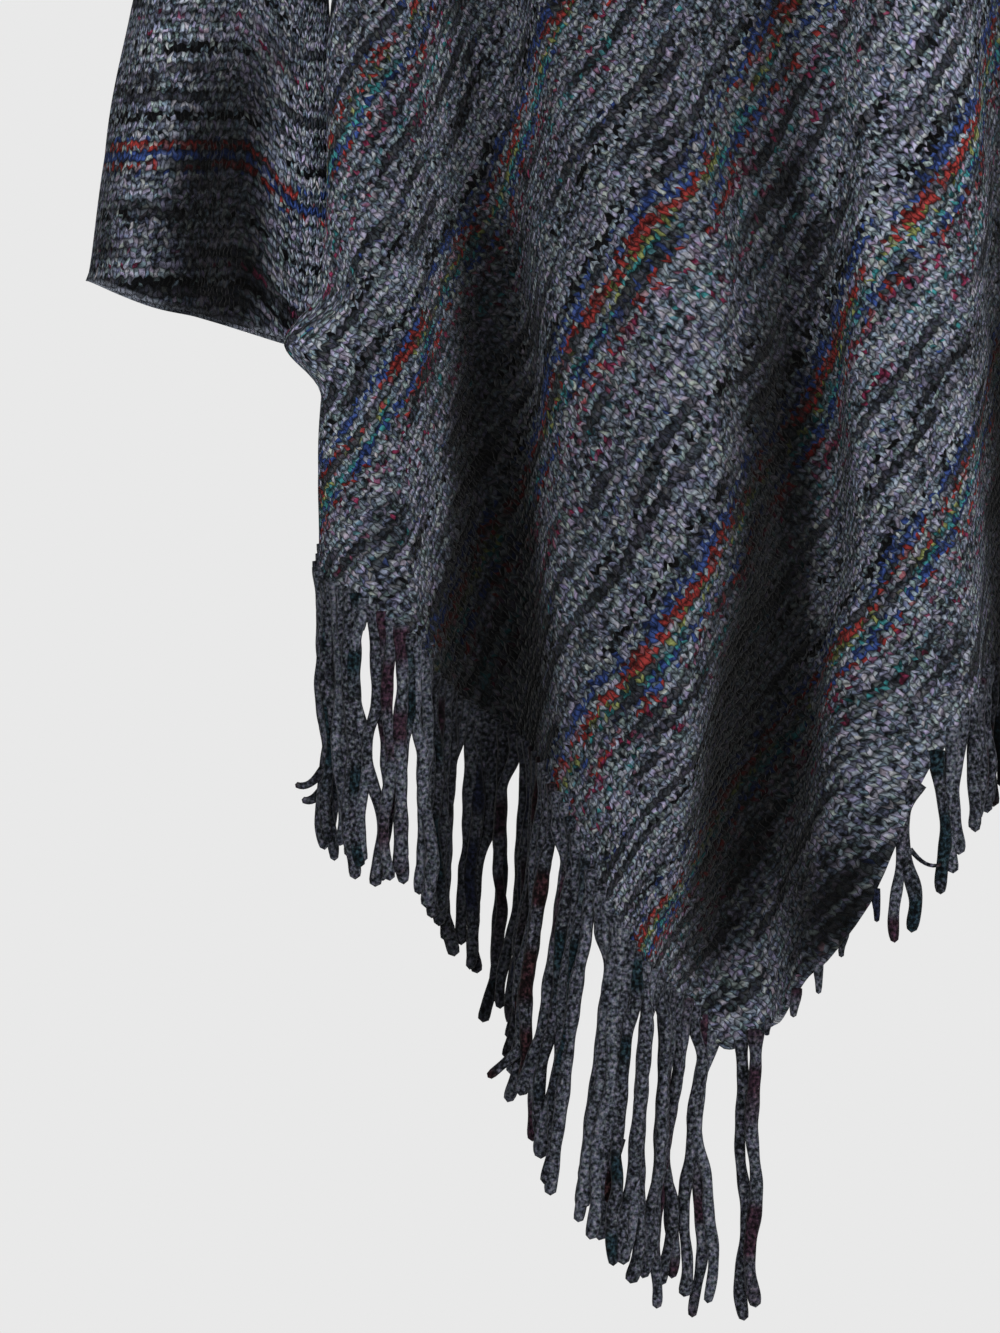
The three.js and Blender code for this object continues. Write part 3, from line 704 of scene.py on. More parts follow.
def smooth_rows(values, reach):
    """Each row's running mean over twice the reach."""
    padded = np.pad(values, ((0, 0), (reach, reach)), mode="edge")
    sums = np.cumsum(np.pad(padded, ((0, 0), (1, 0))), axis=1)
    span = 2 * reach
    count = values.shape[1]
    return (sums[:, span:][:, :count] - sums[:, :-span][:, :count]) / span


def panel_cut(panel, columns, z, grid):
    """Where each point lies in the knit, in millimetres along the courses and across them."""
    widths = np.linalg.norm(np.diff(grid, axis=1), axis=-1).sum(axis=1)
    middle = z[:, z.shape[1] // 2]
    full = np.interp(-FULL_WIDTH_Z, -middle, widths)
    share = np.where(middle > FULL_WIDTH_Z, widths / full, 1)
    along = panel.along(columns)[None, :] * share[:, None]
    p = along * math.cos(COURSE_ANGLE) + z * math.sin(COURSE_ANGLE)
    q = z * math.cos(COURSE_ANGLE) - along * math.sin(COURSE_ANGLE)
    warp = np.sin(2 * np.pi * (q - FIRST_STRIPE) / STRIPE_WARP["wavelength"])
    q = q + STRIPE_WARP["height"] * warp + waves(COURSE_WAVES, along, z)
    return np.stack([p, q - FIRST_STRIPE], axis=-1)


# Meshes


def wall_object(name, outer, inner, cut, closed, hollow):
    """A wall of cloth as one closed body. Its UV map is each point's place in the knit, in metres."""
    rows, columns = outer.shape[:2]
    spans = columns if closed else columns - 1
    inside = rows * columns
    r, c = np.meshgrid(np.arange(rows - 1), np.arange(spans), indexing="ij")
    near, far = r * columns + c, r * columns + (c + 1) % columns
    u_near = r * (spans + 1) + c
    quads = [np.stack([near, near + columns, far + columns, far], -1)]
    places = [np.stack([u_near, u_near + spans + 1, u_near + spans + 2, u_near + 1], -1)]
    quads.append(np.stack([near, far, far + columns, near + columns], -1) + inside)
    places.append(np.stack([u_near, u_near + 1, u_near + spans + 2, u_near + spans + 1], -1))
    span = np.arange(spans)
    after = (span + 1) % columns
    bottom, u_bottom = (rows - 1) * columns, (rows - 1) * (spans + 1)
    quads.append(np.stack([span, after, after + inside, span + inside], -1))
    places.append(np.stack([span, span + 1, span + 1, span], -1))
    quads.append(np.stack([span, span + inside, after + inside, after], -1) + bottom)
    places.append(np.stack([span, span, span + 1, span + 1], -1) + u_bottom)
    if not closed:
        down = np.arange(rows - 1) * columns
        right = down + columns - 1
        quads.append(np.stack([down, down + inside, down + columns + inside, down + columns], -1))
        places.append(np.stack([down, down, down + columns, down + columns], -1))
        quads.append(np.stack([right, right + columns, right + columns + inside, right + inside], -1))
        places.append(np.stack([right, right + columns, right + columns, right], -1))
    faces = np.concatenate([q.reshape(-1, 4) for q in quads])
    places = np.concatenate([p.reshape(-1, 4) for p in places])
    points = np.concatenate([outer.reshape(-1, 3), inner.reshape(-1, 3)]) * MM
    made = mesh_object(name, points, faces.tolist())
    add_uv(made, cut.reshape(-1, 2)[places.ravel()] * MM)
    # The painted shade, which the knit's material reads
    add_value(made, "hollow", np.concatenate([hollow.ravel(), hollow.ravel()]))
    return made


def mesh_object(name, points, faces):
    """A smooth-shaded object from points in metres and faces of three or four corners."""
    mesh = bpy.data.meshes.new(name)
    mesh.from_pydata(points.tolist(), [], faces)
    mesh.polygons.foreach_set("use_smooth", np.ones(len(mesh.polygons), bool))
    made = bpy.data.objects.new(name, mesh)
    bpy.context.collection.objects.link(made)
    return made


def add_uv(made, places):
    """Writes the UV map that the knit reads, one place for each corner of each face."""
    layer = made.data.uv_layers.new(name="cut")
    layer.data.foreach_set("uv", places.astype(np.float32).ravel())


def add_value(made, name, values):
    """Writes an attribute that a material reads, one value for each point."""
    attribute = made.data.attributes.new(name, "FLOAT", "POINT")
    attribute.data.foreach_set("value", values.astype(np.float32))


def inner_face(grid, normals, seam_axis, at_seam):
    """The grid moved in by the cloth's thickness. At a seam it stays in the seam's plane."""
    normals = normals.copy()
    normals[..., seam_axis] = np.where(at_seam, 0, normals[..., seam_axis])
    normals /= np.linalg.norm(normals, axis=-1, keepdims=True)
    return grid - normals * CLOTH


def panel_hollow(panel, columns, z, grid):
    """Painted shade at each point, from how deep it lies between the folds beside it and from the listed
    shades: 1 is fully dark, below 0 is painted light.
    """
    along = panel.along(columns)[None, :]
    out = np.abs(grid[..., 1])
    reach = int(FOLD_REACH / (panel.width / len(columns)))
    hollow = np.clip((smooth_rows(out, reach) - out) / FOLD_DEPTH, 0, 1)
    for shade_along, shade_z, reach_along, reach_z, change in zip(*panel.shades.values()):
        hollow = hollow + change * bump(along - shade_along, reach_along) * bump(z - shade_z, reach_z)
    return np.clip(hollow, LIGHTEST, 1)


def panel_object(name, panel):
    """The front or back panel's cloth."""
    columns = panel_columns(panel)
    z = panel_heights(panel, columns)
    grid = panel.point(columns[None, :], z)
    cut = panel_cut(panel, columns, z, grid)
    along = np.broadcast_to(panel.along(columns)[None, :], z.shape)
    normals = grid_normals(grid, False)
    free = soft((1 - np.abs(columns)) / SEAM_FADE)[None, :]
    free = free * soft((panel.top_z(columns)[None, :] - z) / NECK_FADE)
    lift = (crease_height(panel.creases, along, z) + waves(UNEVENNESS, along, z)) * free
    hollow = panel_hollow(panel, columns, z, grid)
    grid = lifted(grid, normals, lift)
    inner = inner_face(grid, normals, 1, np.abs(grid[..., 1]) < SEAM_GAP)
    return wall_object(name, grid, inner, cut, False, hollow)


def sleeve_grid(mirror):
    """The sleeve's outer face, its place in the knit, the way to the cuff and its painted shade, from how
    deep it lies.
    """
    last = SLEEVE_RINGS["number"][-1]
    share = np.linspace(0, 1, SLEEVE_RINGS_SHOWN)[:, None]
    turn = np.arange(SLEEVE_SIDES)[None, :] / SLEEVE_SIDES * 2 * np.pi

    def read(name):
        return read_table(SLEEVE_RINGS, "number", name, share * last)

    middle_x, middle_z = (read("out_x") + read("in_x")) / 2, (read("out_z") + read("in_z")) / 2
    x = (read("out_x") - middle_x) * np.cos(turn)
    z = (read("out_z") - middle_z) * np.cos(turn)
    y = -read("depth") * np.sin(turn)
    pressed = np.zeros_like(x)
    deepening = soft((share - SLEEVE_HOLLOW_RUN["start"]) / SLEEVE_HOLLOW_RUN["length"])
    for at, half_turn, depth in zip(*SLEEVE_HOLLOWS.values()):
        past = np.abs(np.degrees(turn) - at)
        pressed = pressed + depth * bump(np.minimum(past, 360 - past), half_turn) * deepening
    keep = 1 - pressed / np.sqrt(x**2 + y**2 + z**2)
    sag = soft((share - CUFF_SAG["start"]) / (1 - CUFF_SAG["start"]))
    sag = CUFF_SAG["drop"] * sag * bump(np.cos(turn) - CUFF_SAG["middle"], CUFF_SAG["half"])
    grid = np.stack([middle_x + x * keep, y * keep, middle_z - sag + z * keep], axis=-1)
    from_cuff = np.linalg.norm(np.diff(grid[::-1], axis=0), axis=-1).cumsum(axis=0)[::-1]
    from_cuff = np.concatenate([from_cuff, np.zeros((1, SLEEVE_SIDES))])
    round_arm = SLEEVE_STITCHES_ROUND * SLEEVE_STITCH
    around = turn / (2 * np.pi) * round_arm + np.zeros_like(from_cuff)
    dip = SLEEVE_DIP["depth"] * soft((grid[..., 0] - SLEEVE_DIP["x"]) / SLEEVE_DIP["half_width"] + 0.5)
    level = grid[..., 2] - SLEEVE_DYE_Z + dip
    # Painted shade from the sleeve's dents and the listed places, and painted light where it falls below 0
    hollow = pressed / SLEEVE_HOLLOWS["depth"][0]
    for shade_turn, shade_z, reach_turn, reach_z, change in zip(*SLEEVE_SHADES.values()):
        beside = bump(np.degrees(turn) - shade_turn, reach_turn)
        hollow = hollow + change * beside * bump(grid[..., 2] - shade_z, reach_z)
    hollow = np.clip(hollow, LIGHTEST, 1)
    if mirror < 0:
        grid = grid[:, ::-1] * (-1, 1, 1)
        around, level, from_cuff, hollow = (each[:, ::-1] for each in (around, level, from_cuff, hollow))
    closing = around[:, -1:] + mirror * round_arm / SLEEVE_SIDES
    around = np.concatenate([around, closing], 1)
    level = np.concatenate([level, level[:, :1]], 1)
    cut = np.stack([around, level], axis=-1)
    return grid, cut, from_cuff, hollow


def sleeve_object(name, mirror):
    """A sleeve's cloth: mirror is 1 for the right sleeve and -1 for the left one."""
    grid, cut, from_cuff, hollow = sleeve_grid(mirror)
    normals = grid_normals(grid, True)
    around = cut[:, :-1, 0]
    free = soft((from_cuff.max(axis=0) - from_cuff) / ARMHOLE_FADE)
    lift = crease_height(SLEEVE_CREASES, around, -from_cuff) + waves(UNEVENNESS, around, from_cuff)
    roll = CUFF_ROLL["height"] * bump(from_cuff, CUFF_ROLL["reach"])
    grid = lifted(grid, normals, lift * free + roll)
    at_seam = np.zeros(grid.shape[:2], bool)
    at_seam[0] = True
    inner = inner_face(grid, normals, 0, at_seam)
    made = wall_object(name, grid, inner, cut, True, hollow)
    add_value(made, "from_cuff", np.concatenate([from_cuff.ravel(), from_cuff.ravel()]) * MM)
    return made


def neckband_object(name):
    """The neckband: a ring of rib that stands up from the neckline and leans inwards."""
    feet = []
    for panel in (FRONT, BACK):
        columns = np.linspace(-NECK_COLUMN, NECK_COLUMN, BAND_COLUMNS + 1)
        if panel.facing > 0:
            columns = columns[::-1]
        columns = columns[:-1]
        top = panel.top_z(columns)
        edge = panel.point(columns, top)
        away = edge - panel.point(columns, top - NECKBAND_AIM_DEPTH)
        away /= np.linalg.norm(away, axis=-1, keepdims=True)
        inward = -edge * (1, 1, 0)
        inward /= np.linalg.norm(inward, axis=-1, keepdims=True)
        feet.append((edge + away * NECKBAND_GAP + inward * NECKBAND_GAP, inward))
    foot = np.concatenate([f for f, _ in feet])
    inward = np.concatenate([i for _, i in feet])
    rise = inward * NECKBAND_LEAN + (0, 0, 1)
    rise /= np.linalg.norm(rise, axis=-1, keepdims=True)
    height = np.linspace(NECKBAND_HEIGHT, 0, BAND_ROWS)[:, None, None]
    outer = foot[None] + rise[None] * height
    inner = outer + inward[None] * CLOTH
    steps = np.linalg.norm(np.roll(foot, -1, axis=0) - foot, axis=-1)
    around = np.concatenate([[0], np.cumsum(steps)])
    p = np.broadcast_to(around, (BAND_ROWS, len(around)))
    q = np.broadcast_to(height[..., 0], p.shape)
    return wall_object(name, outer, inner, np.stack([p, q], -1), True, np.zeros(outer.shape[:2]))


# Fringe


def strand_mesh(line, radius, twist, phase):
    """A soft strand along a line, in millimetres: its points, its faces and each point's way down it."""
    down = np.concatenate([[0], np.cumsum(np.linalg.norm(np.diff(line, axis=0), axis=-1))])
    size = radius * (1 + STRAND_FLARE["share"] * (1 - soft(down / STRAND_FLARE["length"])))
    size = size * mix(STRAND_END["share"], 1, soft((down[-1] - down) / STRAND_END["length"]))
    swelling = np.sin(2 * np.pi * down / STRAND_SWELLING["wavelength"] + 3 * phase)
    size = size * (1 + STRAND_SWELLING["share"] * swelling)
    turn = 2 * np.pi * down / twist + phase
    side = np.arange(STRAND_SIDES) / STRAND_SIDES * 2 * np.pi
    oval = size[:, None] * (1 + STRAND_OVAL * np.cos(2 * (side[None] - turn[:, None])))
    run = np.gradient(line, axis=0)
    run /= np.linalg.norm(run, axis=-1, keepdims=True)
    across = np.cross(run, (0, 1, 0))
    across /= np.linalg.norm(across, axis=-1, keepdims=True)
    deep = np.cross(across, run)
    rings = line[:, None] + (oval * np.cos(side))[..., None] * across[:, None]
    rings = rings + (oval * np.sin(side))[..., None] * deep[:, None]
    root_cap = line[0] - run[0] * radius * STRAND_CAP["root"]
    end_cap = line[-1] + run[-1] * radius * STRAND_CAP["end"]
    points = np.concatenate([rings.reshape(-1, 3), [root_cap, end_cap]])
    r, s = np.meshgrid(np.arange(len(line) - 1), np.arange(STRAND_SIDES), indexing="ij")
    here = r * STRAND_SIDES + s
    beside = r * STRAND_SIDES + (s + 1) % STRAND_SIDES
    faces = np.stack([here, here + STRAND_SIDES, beside + STRAND_SIDES, beside], -1).reshape(-1, 4).tolist()
    count = len(line) * STRAND_SIDES
    last = count - STRAND_SIDES
    for s in range(STRAND_SIDES):
        t = (s + 1) % STRAND_SIDES
        faces.append([s, t, count])
        faces.append([last + t, last + s, count + 1])
    lengths = np.concatenate([np.repeat(down, STRAND_SIDES), down[[0, -1]]])
    return points, faces, lengths


class Strands:
    """Strands gathered into one mesh, with what their yarn's material reads at each point."""

    def __init__(self, settings):
        self.twist = settings.twist_length / MM
        self.points = []
        self.faces = []
        self.values = {"hollow": [], "down": [], "kind": []}

    def add(self, line, radius, phase, kind, hollow):
        points, faces, down = strand_mesh(line, radius, self.twist, phase)
        before = sum(len(each) for each in self.points)
        self.points.append(points)
        self.faces.extend([[corner + before for corner in face] for face in faces])
        self.values["hollow"].append(np.full(len(points), hollow))
        self.values["down"].append(down * MM)
        self.values["kind"].append(np.full(len(points), kind))

    def all_points(self):
        return np.concatenate(self.points)

    def finished(self, name):
        made = mesh_object(name, self.all_points() * MM, self.faces)
        for value, parts in self.values.items():
            add_value(made, value, np.concatenate(parts))
        return made


def parted(x, z):
    """How far a strand is pushed aside by the partings beside it."""
    pushed = np.zeros_like(x)
    for x_top, z_top, x_low, z_low, half in zip(*PARTINGS.values()):
        inside = (z < z_top) & (z > z_low)
        if not inside.any():
            continue
        middle = mix(x_top, x_low, np.clip((z_top - z) / (z_top - z_low), 0, 1))
        side = 1 if (x - middle)[inside].mean() >= 0 else -1
        needed = half + STRAND_REACH - side * (x - middle)
        fade = soft((z_top - z) / PARTING_FADE["above"]) * soft((z - z_low) / PARTING_FADE["below"] + 1)
        pushed += side * np.clip(needed, 0, None) * fade
    return pushed


def loose_lines(panel, points, start):
    """The loose yarns of one half of the front's fringe, each at the depth of the strand that it leaves."""
    if panel.facing > 0:
        return
    for x_from, z_from, x_to, z_to, sag, radius in zip(*LOOSE_YARN.values()):
        if (x_from > 0) != (start > -1):
            continue
        nearest = np.argmin((points[:, 0] - x_from) ** 2 + (points[:, 2] - z_from) ** 2)
        share = np.linspace(0, 1, LOOSE_STEPS)
        x = mix(x_from, x_to, share)
        z = mix(z_from, z_to, share) - 4 * sag * share * (1 - share)
        yield np.stack([x, np.full(LOOSE_STEPS, points[nearest, 1]), z], -1), radius


def strand_columns(panel, start, end, share):
    """The columns from which strands hang, as close together as the hem's table says."""
    places = np.linspace(start + STRAND_END_MARGIN, end - STRAND_END_MARGIN, HEM_PLACES)
    spacing = read_table(panel.hem, "along", "spacing", panel.along(places)) / share
    passed = np.cumsum(np.gradient(panel.along(places)) / spacing)
    count = round(passed[-1])
    return np.interp((np.arange(count) + 0.5) * passed[-1] / count, passed, places)


def strand_root(panel, column):
    """The point in the middle of the cloth's wall, just above the hem, where a strand starts."""
    height = panel.hem_z(column) + STRAND_ROOT_RISE
    root = panel.point(column, height)
    beside = panel.point(column + COLUMN_STEP, height) - root
    inward = np.array([-beside[1], beside[0], 0]) * -panel.facing
    return root + inward / np.linalg.norm(inward) * CLOTH / 2


def hanging_line(root, length, lean, clump_x, phase, drift):
    """A strand's middle line: it leans, sways and is drawn towards the middle of its clump."""
    steps = max(FEWEST_STRAND_STEPS, int(length / STRAND_STEP))
    share = np.linspace(0, 1, steps)
    freedom = min(1, length / FULL_STRAND)
    sway = np.sin(2 * np.pi * share * length / SIDEWAYS["wavelength"] + phase[0]) - np.sin(phase[0])
    swing = np.sin(2 * np.pi * share * length / FORWARD["wavelength"] + phase[1]) - np.sin(phase[1])
    line = np.repeat(root[None], steps, axis=0)
    line[:, 0] += lean * length * share**LEAN_POWER
    line[:, 0] += (clump_x - root[0]) * CLUMP["pull"] * soft(share * CLUMP["drawn_by"])
    line[:, 0] += SIDEWAYS["reach"] * freedom * sway * share**0.5
    line[:, 1] += drift * share + FORWARD["reach"] * freedom * swing * share**0.5
    line[:, 2] -= share * length
    return line


def fringe_object(name, panel, start, end, settings):
    """The fringe of one half of a hem, from one column to another."""
    chance = np.random.default_rng(len(name) * 31 + int(start * 100))
    columns = panel_columns(panel)
    heights = panel_heights(panel, columns)
    # The painted shade of the cloth at the hem, which the strands below it take
    hem_hollow = panel_hollow(panel, columns, heights, panel.point(columns[None, :], heights))[-1]
    strands = Strands(settings)
    left_in_clump = 0
    for column in strand_columns(panel, start, end, settings.strand_share):
        along = panel.along(column)
        root = strand_root(panel, column)
        length = float(read_table(panel.hem, "along", "fringe", along)) + STRAND_ROOT_RISE
        length *= 1 + chance.normal(0, STRAND_CHANCE["length"])
        if left_in_clump == 0:
            left_in_clump = int(chance.integers(CLUMP["fewest"], CLUMP["most"] + 1))
            clump_x = root[0] + CLUMP["pitch"] * (left_in_clump - 1) + chance.normal(0, CLUMP["spread"])
        left_in_clump -= 1
        phase = chance.uniform(0, STRAND_CHANCE["phase"], 3)
        lean = read_table(panel.hem, "along", "lean", along)
        line = hanging_line(root, length, lean, clump_x, phase, chance.normal(0, FORWARD["drift"]))
        if panel.facing < 0:
            line[:, 0] += parted(line[:, 0], line[:, 2])
        radius = settings.strand_radius / MM
        radius *= chance.uniform(STRAND_CHANCE["thinnest"], STRAND_CHANCE["thickest"])
        radius *= mix(STRAND_CHANCE["short"], 1, soft(length / FULL_STRAND))
        strands.add(line, radius, phase[2], chance.uniform(), np.interp(column, columns, hem_hollow))
    for line, radius in loose_lines(panel, strands.all_points(), start):
        strands.add(line, radius, 0, LOOSE_KIND, 0)
    return strands.finished(name)


# Materials


def colour(hex_code):
    """A linear RGBA colour from an sRGB hex code."""
    parts = [int(hex_code[i : i + 2], 16) / 255 for i in (1, 3, 5)]
    linear = [c / 12.92 if c <= 0.04045 else ((c + 0.055) / 1.055) ** 2.4 for c in parts]
    return (*linear, 1)


def add_node(tree, kind, *values, named=None, **settings):
    """Adds a node. Its inputs take constants, nodes or sockets, in order or by name."""
    node = tree.nodes.new("ShaderNode" + kind)
    for name, value in settings.items():
        setattr(node, name, value)
    for key, value in [*enumerate(values), *(named or {}).items()]:
        if isinstance(value, bpy.types.Node):
            value = value.outputs[0]
        if isinstance(value, bpy.types.NodeSocket):
            tree.links.new(value, node.inputs[key])
        elif value is not None:
            node.inputs[key].default_value = value
    return node


def fill_ramp(node, stops, interpolation="LINEAR"):
    """Sets a colour ramp to these stops of place and colour."""
    ramp = node.color_ramp
    ramp.interpolation = interpolation
    while len(ramp.elements) > 1:
        ramp.elements.remove(ramp.elements[-1])
    ramp.elements[0].position = stops[0][0]
    ramp.elements[0].color = stops[0][1]
    for place, value in stops[1:]:
        ramp.elements.new(place).color = value
    return node


def yarn_material(name):
    """Brushed acrylic yarn: matt, with no gloss and a faint fuzz where the surface turns away."""
    material = bpy.data.materials.new(name)
    material.use_nodes = True
    tree = material.node_tree
    tree.nodes.clear()
    shader = add_node(tree, "BsdfPrincipled")
    shader.inputs["Roughness"].default_value = 0.92
    shader.inputs["Specular IOR Level"].default_value = 0.05
    shader.inputs["Sheen Weight"].default_value = 0.03
    shader.inputs["Sheen Roughness"].default_value = 0.5
    add_node(tree, "OutputMaterial", shader)
    return material, tree, shader


def yarn_stops(rows):
    """Ramp stops from rows of a place, a yarn and, for dyes, how much of it shows, as alpha."""
    stops = []
    for place, yarn, *shows in rows:
        stops.append((place, (*colour(YARN[yarn])[:3], *(shows or [1]))))
    return stops


def stripe_stops(stripes):
    """Ramp stops for one repeat of the stripes, with plain knit between them."""
    dyed = {ply: (yarn, share) for ply, yarn, share in stripes}
    rows = []
    last = None
    for ply in range(STRIPE_PITCH_PLIES):
        now = dyed.get(ply, ("grey", 0))
        if now != last:
            rows.append((ply / STRIPE_PITCH_PLIES, *now))
        last = now
    return yarn_stops(rows)


def stitch_nodes(tree, cut, stitch, course):
    """Where a point lies in the knit: its place, leg, ply and course, and the height of the yarn there."""
    wander = add_node(
        tree,
        "TexNoise",
        named={"Vector": cut, "Scale": YARN_WANDER["scale"], "Detail": 1},
        noise_dimensions="2D",
    )
    wander = add_node(tree, "VectorMath", wander.outputs["Color"], (0.5, 0.5, 0.5), operation="SUBTRACT")
    reach = (YARN_WANDER["reach"], YARN_WANDER["reach"], 0)
    wander = add_node(tree, "VectorMath", wander, reach, operation="MULTIPLY")
    place = add_node(tree, "SeparateXYZ", add_node(tree, "VectorMath", cut, wander, operation="ADD"))
    stitches = add_node(tree, "Math", place, 1 / stitch, operation="MULTIPLY")
    courses = add_node(tree, "Math", place.outputs[1], 1 / course, operation="MULTIPLY")

    # A leg rises from the middle of its stitch to the side
    in_stitch = add_node(tree, "Math", stitches, operation="FRACT")
    from_middle = add_node(tree, "Math", in_stitch, 0.5, operation="SUBTRACT")
    from_middle = add_node(tree, "Math", from_middle, operation="ABSOLUTE")
    raised = add_node(tree, "Math", from_middle, -LEG_RISE, courses, operation="MULTIPLY_ADD")
    number = add_node(tree, "Math", raised, operation="FLOOR")
    in_course = add_node(tree, "Math", raised, operation="FRACT")
    legs = add_node(tree, "Math", stitches, 2, operation="MULTIPLY")
    leg = add_node(tree, "Math", legs, operation="FLOOR")
    in_leg = add_node(tree, "Math", legs, operation="FRACT")
    plies = add_node(tree, "Math", raised, 2, operation="MULTIPLY")
    ply = add_node(tree, "Math", plies, operation="FLOOR")

    # The yarn is highest in the middle of its leg
    across = add_node(tree, "Math", in_course, 0.5, operation="SUBTRACT")
    across = add_node(tree, "Math", across, 2, operation="MULTIPLY")
    across = add_node(tree, "Math", across, 2, operation="POWER")
    lengthwise = add_node(tree, "Math", in_leg, 0.5, operation="SUBTRACT")
    lengthwise = add_node(tree, "Math", lengthwise, 2, operation="MULTIPLY")
    lengthwise = add_node(tree, "Math", lengthwise, 4, operation="POWER")
    fall = add_node(tree, "Math", across, lengthwise, operation="MAXIMUM")
    height = add_node(tree, "Math", 1, fall, operation="SUBTRACT")
    return {"place": place, "leg": leg, "ply": ply, "number": number, "height": height}


def tone_nodes(tree, knit, own, fibre):
    """How light each point is: a tone for each ply of each leg, broken up by fibres and slow changes."""
    fibre_tone = add_node(tree, "MapRange", fibre, 0.3, 0.7, 0, 1)
    tone = add_node(tree, "Mix", named={0: 0.5, 2: own, 3: fibre_tone})
    along = add_node(tree, "Math", knit["place"], SLOW_TONE["along"], operation="MULTIPLY")
    across = add_node(tree, "Math", knit["place"].outputs[1], SLOW_TONE["across"], operation="MULTIPLY")
    slow = add_node(
        tree,
        "TexNoise",
        named={"Vector": add_node(tree, "CombineXYZ", along, across), "Scale": 1, "Detail": 2},
        noise_dimensions="2D",
    )
    slow = add_node(tree, "MapRange", slow, 0.3, 0.7, -SLOW_TONE["reach"], SLOW_TONE["reach"])
    return add_node(tree, "Math", tone, slow, operation="ADD")


def marl_nodes(tree, tone, own):
    """The grey marl: black to light yarn by tone, each stitch with a little tint of its own."""
    marl = fill_ramp(add_node(tree, "ValToRGB", tone), yarn_stops(KNIT_MARL))
    tint = {0: STITCH_TINT, COLOUR_A: (1, 1, 1, 1), COLOUR_B: own.outputs["Color"]}
    tint = add_node(tree, "Mix", named=tint, data_type="RGBA")
    layers = {0: 1, COLOUR_A: marl, COLOUR_B: tint.outputs[MIXED_COLOUR]}
    marl = add_node(tree, "Mix", named=layers, **MULTIPLIED)
    return marl.outputs[MIXED_COLOUR]


def course_noise(tree, knit, settings):
    """Noise in long runs, each of which stays on its own few courses."""
    run = add_node(tree, "Math", knit["place"], settings["along"], operation="MULTIPLY")
    lane = add_node(tree, "Math", knit["number"], settings["across"], operation="MULTIPLY")
    return add_node(
        tree,
        "TexNoise",
        named={"Vector": add_node(tree, "CombineXYZ", run, lane), "Scale": 1, "Detail": 1},
        noise_dimensions="2D",
    )


def barred_nodes(tree, knit, base):
    """Black bars over the base colour, where the dark yarn runs along a course."""
    bars = course_noise(tree, knit, BLACK_BARS)
    bars = add_node(tree, "MapRange", bars, BLACK_BARS["start"], BLACK_BARS["full"], 0, BLACK_BARS["share"])
    barred = add_node(
        tree, "Mix", named={0: bars, COLOUR_A: base, COLOUR_B: colour(YARN["black"])}, data_type="RGBA"
    )
    return barred.outputs[MIXED_COLOUR]


def dyed_nodes(tree, knit, own, tone, base, stripes, repeat):
    """The coloured courses over the base colour. Single stitches stray and the courses fade in and out."""
    scatter = add_node(tree, "MapRange", own, 0, 1, -repeat["scatter"], repeat["scatter"])
    ply = add_node(tree, "Math", knit["ply"], scatter, operation="ADD")
    ply = add_node(tree, "Math", ply, repeat["way"], 0.5 - repeat["start"], operation="MULTIPLY_ADD")
    ply = add_node(tree, "Math", ply, STRIPE_PITCH_PLIES, operation="FLOORED_MODULO")
    ply = add_node(tree, "Math", ply, STRIPE_PITCH_PLIES, operation="DIVIDE")
    dye = fill_ramp(add_node(tree, "ValToRGB", ply), stripe_stops(stripes), "CONSTANT")
    fade = course_noise(tree, knit, DYE_FADE)
    fade = add_node(
        tree, "MapRange", fade, DYE_FADE["start"], DYE_FADE["full"], DYE_FADE["least"], DYE_FADE["most"]
    )
    share = add_node(tree, "Math", dye.outputs["Alpha"], fade, operation="MULTIPLY")
    kept = add_node(tree, "Math", knit["number"], LAST_DYED_COURSE, operation="GREATER_THAN")
    share = add_node(tree, "Math", share, kept, operation="MULTIPLY")
    lot = add_node(tree, "SeparateXYZ", own.outputs["Color"]).outputs[1]
    shown = add_node(tree, "Math", share, lot, operation="SUBTRACT")
    shown = add_node(tree, "MapRange", shown, -DYE_EDGE, DYE_EDGE, 0, 1)
    depth = add_node(tree, "MapRange", tone, 0.2, 0.8, 0.15, 1.0)
    dyed = add_node(tree, "Mix", named={0: 1, COLOUR_A: dye, COLOUR_B: depth}, **MULTIPLIED)
    striped = add_node(
        tree, "Mix", named={0: shown, COLOUR_A: base, COLOUR_B: dyed.outputs[MIXED_COLOUR]}, data_type="RGBA"
    )
    return striped.outputs[MIXED_COLOUR]


def cuff_nodes(tree, base):
    """The base colour with a painted highlight along the rolled edge at the cuff."""
    from_cuff = add_node(tree, "Attribute", attribute_name="from_cuff").outputs["Fac"]
    # Painted highlight along the rolled edge
    edge = add_node(tree, "MapRange", from_cuff, CUFF_EDGE["near"], CUFF_EDGE["far"], CUFF_EDGE["share"], 0)
    edged = add_node(
        tree, "Mix", named={0: edge, COLOUR_A: base, COLOUR_B: colour(YARN["light"])}, data_type="RGBA"
    )
    return edged.outputs[MIXED_COLOUR]


def shade_nodes(tree, height, painted_light_gain):
    """Painted shade: how light the knit is drawn, dark in the gaps between its legs and in the deep folds,
    and painted light where the shade is below 0 and on the sleeves.
    """
    gaps = add_node(tree, "MapRange", height, 0, 0.8, GAP_LIGHT * painted_light_gain, painted_light_gain)
    hollow = add_node(tree, "Attribute", attribute_name="hollow").outputs["Fac"]
    shade = fill_ramp(add_node(tree, "ValToRGB", hollow), FOLD_PAINTED_SHADE)
    lighter = add_node(tree, "MapRange", hollow, LIGHTEST, 0, LIGHTEST_GAIN, 1)
    shade = add_node(tree, "Math", lighter, shade, operation="MULTIPLY")
    return add_node(tree, "Math", gaps, shade, operation="MULTIPLY")


